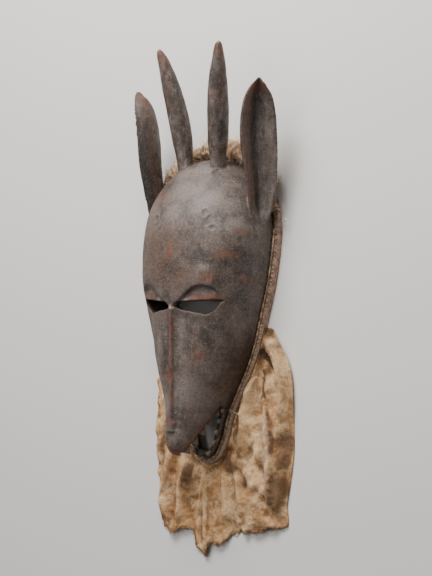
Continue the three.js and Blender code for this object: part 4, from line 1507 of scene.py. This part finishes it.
def aged_wood(settings):
    """Dark handled wood: sooty hollows and painted shade, rubbed grey fields and painted light, and red-brown
    where the patina has gone.
    """
    made, tree, shader = material("aged wood")
    coords = object_coords(tree)
    grain = effect(tree, long_grain, Fineness=420.0, Length=9.0)
    scratches = effect(tree, fine_scratches, Fineness=520.0)["Scratches"]
    dust = effect(tree, dust_specks, Fineness=1100.0, Amount=0.55)["Specks"]
    clouds = noise(tree, coords, 38.0, 6.0, 0.62)
    blotches = noise(tree, coords, 130.0, 6.0, 0.7)
    flecks = noise(tree, coords, 230.0, 6.0, 0.74)
    speckle = noise(tree, coords, 620.0, 5.0, 0.78)
    brown = broken(tree, painted(tree, "brown"), 90.0, 0.5, 0.45)
    # The grey mask carries painted light as well as rubbed grey
    grey = broken(tree, painted(tree, "rubbed_grey_and_light"), 170.0, 0.75, 0.42)
    # The soot mask carries painted shade as well as soot
    soot = broken(tree, painted(tree, "soot"), 120.0, 0.8, 0.35)
    red = broken(tree, painted(tree, "worn_red"), 260.0, 1.0, 0.28)
    pale = broken(tree, painted(tree, "pale"), 420.0, 0.6, 0.3)
    colour = blended(tree, ranged(tree, clouds, 0.36, 0.66), settings.patina_dark, settings.patina_brown)
    patina = [
        (ranged(tree, blotches, 0.45, 0.72), 0.45, settings.rubbed),
        (brown, 0.85, settings.warm_brown),
        (grey, 0.85, settings.rubbed),
        (soot, 0.8, settings.soot),
        (ranged(tree, speckle, 0.5, 0.38), 0.62, settings.patina_dark),
        (ranged(tree, speckle, 0.54, 0.64), 0.5, settings.dust),
    ]
    colour = layered(tree, colour, patina)
    colour = blended(tree, ranged(tree, flecks, 0.54, 0.66, 0.0, 0.48), colour, settings.worn_orange)
    colour = blended(tree, ranged(tree, flecks, 0.45, 0.34, 0.0, 0.42), colour, settings.patina_dark)
    red_tone = blended(tree, ranged(tree, blotches, 0.35, 0.65), settings.worn_red, settings.worn_orange)
    colour = layered(tree, colour, [(red, 0.8, red_tone)])
    colour = blended(tree, pale, colour, settings.pale)
    fibrous = painted(tree, "fibrous")
    streaks = maths(tree, "MULTIPLY_ADD", fibrous, 0.4, 0.2)
    streaks = maths(tree, "MULTIPLY", grain["Streaks"], streaks)
    darkened = blended(tree, 1.0, colour, (0.45, 0.43, 0.43), "MULTIPLY")
    colour = blended(tree, streaks, colour, darkened)
    pits = node(tree, "ShaderNodeTexVoronoi", {"Vector": coords, "Scale": 420.0, "Randomness": 1.0})
    pit, deep_pit = [
        maths(tree, "MULTIPLY", ranged(tree, pits.outputs["Distance"], *edge), painted(tree, "pitted"))
        for edge in ((0.34, 0.16), (0.26, 0.14))
    ]
    marks = [
        (dust, 0.42, settings.dust),
        (scratches, 0.1, settings.dust),
        (pit, 0.3, settings.dust),
        (deep_pit, 0.7, settings.soot),
    ]
    colour = layered(tree, colour, marks)
    bare = blended(tree, ranged(tree, clouds, 0.3, 0.7), settings.inside_dark, settings.inside_light)
    bare = blended(tree, streaks, bare, settings.patina_dark)
    colour = blended(tree, painted(tree, "inside"), colour, bare)
    dullness = maths(tree, "ADD", 0.37, maths(tree, "MULTIPLY", blotches, 0.2))
    dullness = maths(tree, "SUBTRACT", dullness, maths(tree, "MULTIPLY", grey, 0.04))
    dullness = maths(tree, "ADD", dullness, maths(tree, "MULTIPLY", soot, 0.08))
    dullness = maths(tree, "ADD", dullness, ranged(tree, speckle, 0.42, 0.6, -0.06, 0.14))
    dullness = maths(tree, "ADD", dullness, ranged(tree, flecks, 0.36, 0.64, 0.14, -0.04))
    bumps = [
        (grain["Height"], maths(tree, "MULTIPLY_ADD", fibrous, 0.6, 0.35), 0.0008),
        (speckle, 0.6, 0.0009),
        (flecks, 0.4, 0.0014),
        (maths(tree, "MULTIPLY", scratches, -1.0), 0.25, 0.0003),
        (maths(tree, "MULTIPLY", pit, -1.0), 0.6, 0.0006),
    ]
    set_surface(tree, shader, colour, dullness, bumps)
    return made


def rolled_hide(settings):
    """Red-brown hide along the cheeks, going over to tan where the rim runs round the jaws, with painted
    shade in its creases.
    """
    made, tree, shader = material("rolled hide")
    coords = object_coords(tree)
    dust = effect(tree, dust_specks, Fineness=800.0, Amount=0.8)["Specks"]
    lumps = noise(tree, coords, 160.0, 5.0, 0.65)
    pores = noise(tree, coords, 1400.0, 3.0, 0.7)
    colour = blended(tree, ranged(tree, lumps, 0.35, 0.65), settings.hide_dark, settings.hide_red)
    tan = broken(tree, painted(tree, "tan_share"), 120.0, 0.5, 0.35)
    tan_tone = blended(tree, ranged(tree, lumps, 0.3, 0.7), settings.hide_grey, settings.hide_tan)
    colour = blended(tree, tan, colour, tan_tone)
    # The crease mask lays painted shade into the creases of the hide
    marks = [(dust, 0.7, settings.cord_pale), (painted(tree, "crease_dirt_and_shade"), 0.5, settings.hide_dark)]
    colour = layered(tree, colour, marks)
    dullness = ranged(tree, lumps, 0.2, 0.8, 0.62, 0.85, "LINEAR")
    set_surface(tree, shader, colour, dullness, [(lumps, 0.5, 0.0012), (pores, 0.4, 0.0004)])
    return made


def twisted_cord(settings, name="twisted cord", pale=False):
    """Dirty cord, or the cleaner white of a loose thread end."""
    made, tree, shader = material(name)
    coords = object_coords(tree)
    light, dark = settings.cord_pale, settings.cord_dark
    if pale:
        light, dark = settings.thread_white, [0.8 * c for c in settings.thread_white]
    dirt = noise(tree, coords, 210.0, 5.0, 0.65)
    fibres = noise(tree, coords, 2600.0, 2.0, 0.6)
    colour = blended(tree, ranged(tree, dirt, 0.38, 0.62), dark, light)
    dullness = ranged(tree, dirt, 0.2, 0.8, 0.92, 0.75, "LINEAR")
    set_surface(tree, shader, colour, dullness, [(fibres, 0.5, 0.0003)])
    return made


def crown_fibre(settings):
    """Pale frayed hide and fibre, with painted shade in its folds."""
    made, tree, shader = material("crown hide and fibre")
    coords = object_coords(tree)
    lumps = noise(tree, coords, 150.0, 6.0, 0.7)
    strands = noise(tree, coords, 1600.0, 3.0, 0.7)
    colour = blended(tree, ranged(tree, lumps, 0.36, 0.64), settings.crown_dark, settings.crown_light)
    # Painted shade in the folds of the bunch
    colour = layered(tree, colour, [(painted(tree, "crease_dirt_and_shade"), 0.85, settings.crown_deep)])
    shader["Specular IOR Level"].default_value = 0.2
    set_surface(tree, shader, colour, 0.9, [(lumps, 0.6, 0.0015), (strands, 0.6, 0.0005)])
    return made


def worn_cloth(settings):
    """Old tan cloth: brown stains and painted shadows, painted highlights on the crests, painted shade in the
    folds and a coarse worn weave.
    """
    made, tree, shader = material("worn cloth")
    coords = object_coords(tree)
    weave = effect(tree, plain_weave, Threads=1000.0)
    dust = effect(tree, dust_specks, Fineness=700.0, Amount=0.7)["Specks"]
    clouds = noise(tree, coords, 30.0, 9.0, 0.7)
    blotches = noise(tree, coords, 95.0, 8.0, 0.74)
    mottle = noise(tree, coords, 520.0, 4.0, 0.75)
    # Painted highlights on the crests and the bright places
    crest = broken(tree, painted(tree, "crest"), 110.0, 1.0, 0.35)
    # The stain mask also carries painted shadows
    stain_and_shadow = broken(tree, painted(tree, "stain_and_shadow"), 85.0, 1.5, 0.42)
    flakes = broken(tree, painted(tree, "flakes"), 300.0, 2.2, 0.15)
    hem = broken(tree, painted(tree, "hem"), 260.0, 0.9, 0.3)
    stain_and_shadow_tone = blended(tree, ranged(tree, blotches, 0.4, 0.62), settings.stain_dark, settings.stain_brown)
    colour = blended(tree, ranged(tree, clouds, 0.42, 0.6), settings.cloth_ochre, settings.cloth_light)
    # Wear and stains, with painted light and shade among them: highlights on the crests, shade in the folds
    # and under the flap
    wear = [
        (ranged(tree, blotches, 0.48, 0.6), 0.82, settings.cloth_tan),
        (crest, 0.85, settings.cloth_light),
        # painted shade in the folds
        (painted(tree, "fold"), 0.72, settings.stain_brown),
        (stain_and_shadow, 0.86, stain_and_shadow_tone),
        (ranged(tree, mottle, 0.52, 0.34), 0.4, settings.stain_brown),
        (flakes, 0.6, settings.flake_grey),
        # painted shade under the flap
        (painted(tree, "slot_shade"), 0.9, settings.slot_dark),
        (hem, 0.7, settings.stain_brown),
        (dust, 0.4, settings.cloth_pale),
        (weave["Threads"], 0.12, settings.cloth_pale),
    ]
    colour = layered(tree, colour, wear)
    dullness = ranged(tree, stain_and_shadow, 0.0, 1.0, 0.9, 0.72, "LINEAR")
    shader["Specular IOR Level"].default_value = 0.12
    bumps = [(weave["Height"], 0.18, 0.0004), (mottle, 0.4, 0.001), (blotches, 0.85, 0.006)]
    set_surface(tree, shader, colour, dullness, bumps)
    return made


# Patterns that repeat, as Geometry Nodes


def pattern_tree(name, sizes):
    """A Geometry Nodes tree with a geometry socket each way, named sizes, a seed and a finish."""
    tree = bpy.data.node_groups.new(name, "GeometryNodeTree")
    for way in ("INPUT", "OUTPUT"):
        add_sockets(tree, way, "Geometry", {"Geometry": None})
    add_sockets(tree, "INPUT", "Float", sizes)
    add_sockets(tree, "INPUT", "Int", {"Seed": 1})
    add_sockets(tree, "INPUT", "Material", {"Finish": None})
    return tree, tree.nodes.new("NodeGroupInput").outputs, tree.nodes.new("NodeGroupOutput").inputs


def bent_fibre(tree, start, bend, sides):
    """One short bent thread standing along z, with the tree's length and thickness."""
    half = maths(tree, "MULTIPLY", start["Length"], 0.5)
    bow = {
        "Resolution": 4,
        "Start": (0, 0, 0),
        "Middle": node(tree, "ShaderNodeCombineXYZ", {"X": bend, "Z": half}).outputs[0],
        "End": node(tree, "ShaderNodeCombineXYZ", {"Z": start["Length"]}).outputs[0],
    }
    line = node(tree, "GeometryNodeCurveQuadraticBezier", bow).outputs[0]
    round_section = {"Resolution": sides, "Radius": start["Thread"]}
    ring = node(tree, "GeometryNodeCurvePrimitiveCircle", round_section).outputs[0]
    inputs = {"Curve": line, "Profile Curve": ring, "Fill Caps": True}
    return node(tree, "GeometryNodeCurveToMesh", inputs).outputs[0]


def scatter(tree, start, end, points, shape, rotation, size):
    """Puts a shape on points, makes every copy real and gives it the finish."""
    inputs = {"Points": points, "Instance": shape, "Rotation": rotation, "Scale": size}
    copies = node(tree, "GeometryNodeInstanceOnPoints", inputs).outputs[0]
    real = node(tree, "GeometryNodeRealizeInstances", {"Geometry": copies}).outputs[0]
    inputs = {"Geometry": real, "Material": start["Finish"]}
    feed(tree, end["Geometry"], node(tree, "GeometryNodeSetMaterial", inputs).outputs[0])


def random_vector(tree, low, high, seed):
    """A fixed random vector for each copy."""
    inputs = {0: low, 1: high, "Seed": seed}
    return node(tree, "FunctionNodeRandomValue", inputs, data_type="FLOAT_VECTOR").outputs[0]


def turned(tree, rotation, turn):
    """A rotation turned further about its own axes."""
    by = node(tree, "FunctionNodeEulerToRotation", {0: turn}).outputs[0]
    inputs = {0: rotation, 1: by}
    return node(tree, "FunctionNodeRotateRotation", inputs, rotation_space="LOCAL").outputs[0]


def stitch_tree():
    """Short slanting stitches at an even pitch along a line of edges."""
    sizes = {"Pitch": 0.005, "Length": 0.004, "Thread": 0.0004}
    tree, start, end = pattern_tree("stitches along a seam", sizes)
    line = node(tree, "GeometryNodeMeshToCurve", {"Mesh": start["Geometry"]}).outputs[0]
    inputs = {"Curve": line, "Length": start["Pitch"]}
    even = node(tree, "GeometryNodeResampleCurve", inputs, mode="LENGTH").outputs[0]
    tangent = node(tree, "GeometryNodeInputTangent").outputs[0]
    facing = node(tree, "FunctionNodeAlignRotationToVector", {"Vector": tangent}, axis="X").outputs[0]
    uneven = random_vector(tree, (-0.35, -0.25, -0.5), (0.35, 0.25, 0.5), start["Seed"])
    slanted = turned(tree, turned(tree, facing, (1.15, 0.0, 0.35)), uneven)
    back = node(tree, "ShaderNodeCombineXYZ", {"Z": maths(tree, "MULTIPLY", start["Length"], -0.5)})
    inputs = {"Geometry": bent_fibre(tree, start, 0.0004, 6), "Translation": back.outputs[0]}
    centred = node(tree, "GeometryNodeTransform", inputs).outputs[0]
    size = random_vector(tree, (0.8, 0.8, 0.6), (1.2, 1.2, 1.25), start["Seed"])
    scatter(tree, start, end, even, centred, slanted, size)
    return tree


def fray_tree():
    """Loose fibres standing out of a surface in every direction."""
    sizes = {"Density": 20000.0, "Length": 0.006, "Thread": 0.0002, "Lean": 1.0}
    tree, start, end = pattern_tree("loose fibres", sizes)
    inputs = {"Mesh": start["Geometry"], "Density": start["Density"], "Seed": start["Seed"]}
    scattered = node(tree, "GeometryNodeDistributePointsOnFaces", inputs).outputs
    tilt = random_vector(tree, (-1, -1, -math.pi), (1, 1, math.pi), start["Seed"])
    inputs = {0: tilt, "Scale": start["Lean"]}
    leaned = node(tree, "ShaderNodeVectorMath", inputs, operation="SCALE").outputs[0]
    facing = turned(tree, scattered["Rotation"], leaned)
    size = random_vector(tree, (0.6, 0.6, 0.35), (1.3, 1.3, 1.3), start["Seed"])
    fibre = bent_fibre(tree, start, 0.0014, 4)
    scatter(tree, start, end, scattered["Points"], fibre, facing, size)
    return tree


def apply_pattern(obj, tree, values):
    """Runs a pattern on an object and keeps the result as its plain mesh."""
    modifier = obj.modifiers.new("pattern", "NODES")
    modifier.node_group = tree
    for item in tree.interface.items_tree:
        if item.in_out == "INPUT" and item.name in values:
            modifier[item.identifier] = values[item.name]
    return plain_mesh(obj)


# Settings that a user may change


def measure(name, description, default):
    return FloatProperty(name=name, description=description, default=default, unit="LENGTH", precision=5)


def portion(name, description, default):
    return FloatProperty(name=name, description=description, default=default, subtype="FACTOR")


def wattage(name, description, default):
    return FloatProperty(name=name, description=description, default=default, unit="POWER")


def tint(name, description, default):
    return FloatVectorProperty(
        name=name, description=description, default=default, subtype="COLOR", size=3, min=0.0, max=1.0
    )


class MaskWood(PropertyGroup):
    step: measure("Surface step", "Distance between points of the carved surface", 0.001)
    dents: measure("Dents", "Depth of the dents and tool marks", 0.0005)
    triangles: IntProperty(name="Triangles", description="Most triangles of the carving", default=190000)
    patina_dark: tint("Dark patina", "Colour of the dark patina", (0.032, 0.0235, 0.02))
    patina_brown: tint("Brown patina", "Colour of the browner patina", (0.13, 0.096, 0.08))
    warm_brown: tint("Warm brown", "Colour of the warm brown fields", (0.125, 0.081, 0.058))
    # The rubbed grey is also the colour of the painted light on the forehead and muzzle
    rubbed: tint("Rubbed grey", "Colour of the rubbed grey fields", (0.245, 0.204, 0.186))
    # The soot colour is also the colour of the painted shade
    soot: tint("Soot", "Colour of the sooty hollows", (0.015, 0.0115, 0.01))
    worn_red: tint("Worn red", "Colour where the patina has worn through", (0.125, 0.046, 0.03))
    worn_orange: tint("Worn orange", "Lighter colour of the worn places", (0.2, 0.085, 0.048))
    pale: tint("Pale tips", "Colour of the palest worn tips", (0.46, 0.35, 0.26))
    dust: tint("Dust", "Colour of dust and scratches", (0.36, 0.29, 0.24))
    inside_dark: tint("Inside, dark", "Darker colour of the wood behind the face", (0.06, 0.038, 0.026))
    inside_light: tint("Inside, light", "Lighter colour of the wood behind the face", (0.16, 0.1, 0.062))


class MaskRim(PropertyGroup):
    twist: measure("Cord twist", "Length of one turn of the sewing cord", 0.0042)
    pitch: measure("Stitch pitch", "Distance between stitches along the rim", 0.0046)
    hide_red: tint("Red hide", "Colour of the hide along the cheeks", (0.45, 0.29, 0.21))
    hide_dark: tint("Dark hide", "Colour of the hide in its creases", (0.17, 0.108, 0.078))
    hide_tan: tint("Tan hide", "Colour of the hide round the jaws", (0.43, 0.3, 0.2))
    hide_grey: tint("Grey hide", "Greyer colour of the hide round the jaws", (0.3, 0.22, 0.165))
    cord_pale: tint("Pale cord", "Colour of the sewing cord", (0.62, 0.46, 0.31))
    cord_dark: tint("Dirty cord", "Colour of the dirty stretches of the cord", (0.2, 0.13, 0.085))
    thread_white: tint("White thread", "Colour of the loose thread ends", (0.88, 0.86, 0.82))


class MaskCrown(PropertyGroup):
    density: FloatProperty(name="Fibres", description="Loose fibres on each square metre", default=45000.0)
    crown_light: tint("Light fibre", "Lighter colour of the bunch", (0.8, 0.58, 0.39))
    crown_dark: tint("Dark fibre", "Darker colour of the bunch", (0.46, 0.3, 0.18))
    # Colour of the painted shade in the folds of the bunch
    crown_deep: tint("Deep folds", "Colour in the folds of the bunch", (0.075, 0.044, 0.026))


class MaskCloth(PropertyGroup):
    thickness: measure("Thickness", "Thickness of the cloth", 0.0011)
    wrinkles: portion("Wrinkles", "Strength of the small wrinkles", 1.35)
    ragged: portion("Ragged hem", "How far the hem is torn, as a share of the drop", 0.055)
    cloth_light: tint("Light cloth", "Lightest colour of the cloth", (0.92, 0.63, 0.36))
    cloth_tan: tint("Tan cloth", "Middle colour of the cloth", (0.44, 0.215, 0.086))
    cloth_ochre: tint("Ochre cloth", "Warm colour of the cloth", (0.72, 0.415, 0.19))
    cloth_pale: tint("Pale threads", "Colour of the rubbed threads", (0.78, 0.6, 0.42))
    # The brown stain colour is also the colour of the painted shade in the folds
    stain_brown: tint("Brown stain", "Colour of the stains", (0.12, 0.047, 0.017))
    flake_grey: tint("Grey flakes", "Colour of the dried dirt along the seam", (0.52, 0.4, 0.31))
    # Colour of the painted shade under the flap
    slot_dark: tint("Dark slot", "Colour deep under the flap beside the cheek", (0.02, 0.009, 0.005))
    # The dark stain colour also colours the painted shadows
    stain_dark: tint("Dark stain", "Colour in the middle of the stains", (0.036, 0.015, 0.007))


class MaskStudio(PropertyGroup):
    floor: tint("Floor", "Colour of the studio floor", (0.74, 0.73, 0.71))
    key: wattage("Key light", "Power of the key light", 37.0)
    fill: wattage("Fill light", "Power of the fill light", 9.5)
    side: wattage("Side light", "Power of the light from the side", 3.0)


# Pieces


def rim_stitches(settings, cord):
    """Stitches along the top of the binding, from one end of it to the other."""
    end_y = BINDING_TOP - 0.004
    seam = rim_line(BINDING["offset"] + 0.0012, end_y, end_y, -0.0001)
    stitches = mesh_object("rim_stitches", seam, [], [(i, i + 1) for i in range(len(seam) - 1)])
    return apply_pattern(stitches, stitch_tree(), {**STITCH, "Pitch": settings.pitch, "Finish": cord})


def hem_fringe(cloth, t, finish):
    """Loose fibres on the last rows of the cloth, along the torn part of its hem."""
    grid = points_of(cloth).reshape(-1, int(np.argmax(t)) + 1, 3)
    torn = slice(int(len(grid) * HEM_FRAYED[0]), int(len(grid) * HEM_FRAYED[1]))
    inner, outer = grid[torn, -2], grid[torn, -1]
    count = len(inner)
    faces = [(i, i + 1, count + i + 1, count + i) for i in range(count - 1)]
    hem = mesh_object("hem_fray", np.vstack([inner, outer]), faces)
    apply_pattern(hem, fray_tree(), {**HEM_FIBRES, "Finish": finish})
    hem.data.uv_layers.new(name="cloth")
    for name, value in (("stain_and_shadow", 0.2), ("crest", 0.3), ("hem", 0.6)):
        paint(hem, name, np.full(len(hem.data.vertices), value))
    return rest_on_floor(hem)


class CarveFace(Operator):
    """Carves the wooden face with its horns, ears, eye slits and toothed jaws"""

    bl_idname = "mask.carve_face"
    bl_label = "Carve the wooden face"

    def execute(self, context):
        settings = context.scene.mask_wood
        finish_piece(make_wooden_face(settings), aged_wood(settings), "carved_face")
        return {"FINISHED"}


class BindRim(Operator):
    """Rolls the hide along the rim and sews it down with cord"""

    bl_idname = "mask.bind_rim"
    bl_label = "Bind the rim"

    def execute(self, context):
        settings = context.scene.mask_rim
        hide = rolled_hide(settings)
        cord = twisted_cord(settings)
        white = twisted_cord(settings, "loose thread", pale=True)
        finish_piece(rest_on_floor(rim_binding()), hide, "rim_binding")
        finish_piece(sewing_cord(settings), cord, "edge_cord")
        finish_piece(rim_stitches(settings, cord), cord)
        ties = join("ear_foot_ties", [loop for side in (-1, 1) for loop in tie_loops(side)])
        finish_piece(rest_on_floor(ties), cord)
        threads = [loose_thread(*end) for end in THREAD_ENDS]
        finish_piece(join("loose_thread_ends", threads), white)
        return {"FINISHED"}


class BunchCrown(Operator):
    """Gathers the frayed hide and fibre behind the horns"""

    bl_idname = "mask.bunch_crown"
    bl_label = "Bunch the crown"

    def execute(self, context):
        settings = context.scene.mask_crown
        finish = crown_fibre(settings)
        bunch = rest_on_floor(crown_bunch())
        fibres = placed("crown_fibres", bunch.data.copy())
        apply_pattern(fibres, fray_tree(), {**CROWN_FIBRES, "Density": settings.density, "Finish": finish})
        paint(fibres, "crease_dirt_and_shade", np.zeros(len(fibres.data.vertices)))
        finish_piece(bunch, finish, "crown_bunch")
        finish_piece(rest_on_floor(fibres), finish)
        return {"FINISHED"}


class HangCloth(Operator):
    """Gathers the neck cloth under the rim and lets it fall to its torn hem"""

    bl_idname = "mask.hang_cloth"
    bl_label = "Hang the neck cloth"

    def execute(self, context):
        settings = context.scene.mask_cloth
        finish = worn_cloth(settings)
        cloth, t, places = neck_cloth(settings)
        dress_cloth(cloth, t, places)
        hem = hem_fringe(cloth, t, finish)
        shaped(cloth, "SOLIDIFY", thickness=settings.thickness, offset=-1)
        finish_piece(cloth, finish, "neck_cloth")
        finish_piece(hem, finish)
        return {"FINISHED"}


# Stage


def area_light(name, place, aim, size, power, colour):
    """A soft rectangular light that isn't seen itself."""
    light = bpy.data.lights.new(name, "AREA")
    light.shape = "RECTANGLE"
    light.size, light.size_y = size
    light.energy = power
    light.color = colour
    obj = placed(name, light)
    obj.location = place
    obj.rotation_mode = "QUATERNION"
    obj.rotation_quaternion = (aim - place).to_track_quat("-Z", "Y")
    obj.visible_camera = False


def photo_camera():
    """The photograph's camera, and its directions away from the mask, right and up."""
    turn, lean = CAMERA_TURN, CAMERA_LEAN
    away = Vector((math.sin(turn), -math.cos(turn) * math.sin(lean), math.cos(turn) * math.cos(lean)))
    right = Vector((math.cos(turn), math.sin(turn) * math.sin(lean), -math.sin(turn) * math.cos(lean)))
    up = Vector((0, math.cos(lean), math.sin(lean)))
    data = bpy.data.cameras.new("photo camera")
    data.sensor_width = SENSOR
    data.lens = SENSOR * FOCAL_PIXELS / IMAGE_HEIGHT
    camera = placed("photo camera", data)
    camera.matrix_world = Matrix((right, up, away)).transposed().to_4x4()
    camera.location = CAMERA_AIM + FACE_ORIGIN + away * CAMERA_DISTANCE
    bpy.context.scene.camera = camera
    return away, right, up


class SetStage(Operator):
    """Lays the pale floor and sets the soft lights and the camera"""

    bl_idname = "mask.set_stage"
    bl_label = "Set the stage"

    def execute(self, context):
        settings = context.scene.mask_studio
        floor = mesh_object("studio_floor", [(-6, -6, 0), (6, -6, 0), (6, 6, 0), (-6, 6, 0)], [(0, 1, 2, 3)])
        made, _, shader = material("studio floor")
        shader["Base Color"].default_value = (*settings.floor, 1)
        shader["Roughness"].default_value = 0.85
        floor.data.materials.append(made)
        away, right, up = photo_camera()
        middle = Vector((0, 0, 0.04))
        key = middle + 1.45 * (0.85 * up + 0.385 * away - 0.34 * right)
        fill = middle + 0.95 * away - 0.95 * right + 0.25 * up
        side = middle + 1.2 * right + 0.6 * up + 0.5 * away
        area_light("key light", key, middle, (1.15, 0.6), settings.key, (1.0, 0.97, 0.94))
        area_light("fill light", fill, middle, (1.2, 1.2), settings.fill, (1.0, 0.97, 0.94))
        area_light("side light", side, middle, (0.5, 0.9), settings.side, (1.0, 0.98, 0.97))
        world = bpy.data.worlds.new("studio")
        world.use_nodes = True
        background = world.node_tree.nodes["Background"]
        background.inputs["Color"].default_value = (0.95, 0.93, 0.91, 1)
        background.inputs["Strength"].default_value = 0.15
        context.scene.world = world
        return {"FINISHED"}


class MaskPanel(Panel):
    """Sizes, colours and steps of the mask"""

    bl_idname = "VIEW3D_PT_carved_mask"
    bl_label = "Carved mask"
    bl_space_type = "VIEW_3D"
    bl_region_type = "UI"
    bl_category = "Mask"

    def draw(self, context):
        for name in SETTINGS:
            box = self.layout.box()
            settings = getattr(context.scene, name)
            for prop in settings.__annotations__:
                box.prop(settings, prop)
        for operator in STEPS:
            self.layout.operator(operator.bl_idname)


SETTINGS = {
    "mask_wood": MaskWood,
    "mask_rim": MaskRim,
    "mask_crown": MaskCrown,
    "mask_cloth": MaskCloth,
    "mask_studio": MaskStudio,
}
STEPS = (SetStage, CarveFace, BindRim, BunchCrown, HangCloth)


def register():
    for name, kind in SETTINGS.items():
        bpy.utils.register_class(kind)
        setattr(bpy.types.Scene, name, PointerProperty(type=kind))
    for kind in (*STEPS, MaskPanel):
        bpy.utils.register_class(kind)


def unregister():
    for kind in (MaskPanel, *reversed(STEPS)):
        bpy.utils.unregister_class(kind)
    for name, kind in reversed(SETTINGS.items()):
        delattr(bpy.types.Scene, name)
        bpy.utils.unregister_class(kind)


def main():
    register()
    bpy.ops.mask.set_stage()
    bpy.ops.mask.carve_face()
    bpy.ops.mask.bind_rim()
    bpy.ops.mask.bunch_crown()
    bpy.ops.mask.hang_cloth()


if __name__ == "__main__":
    main()
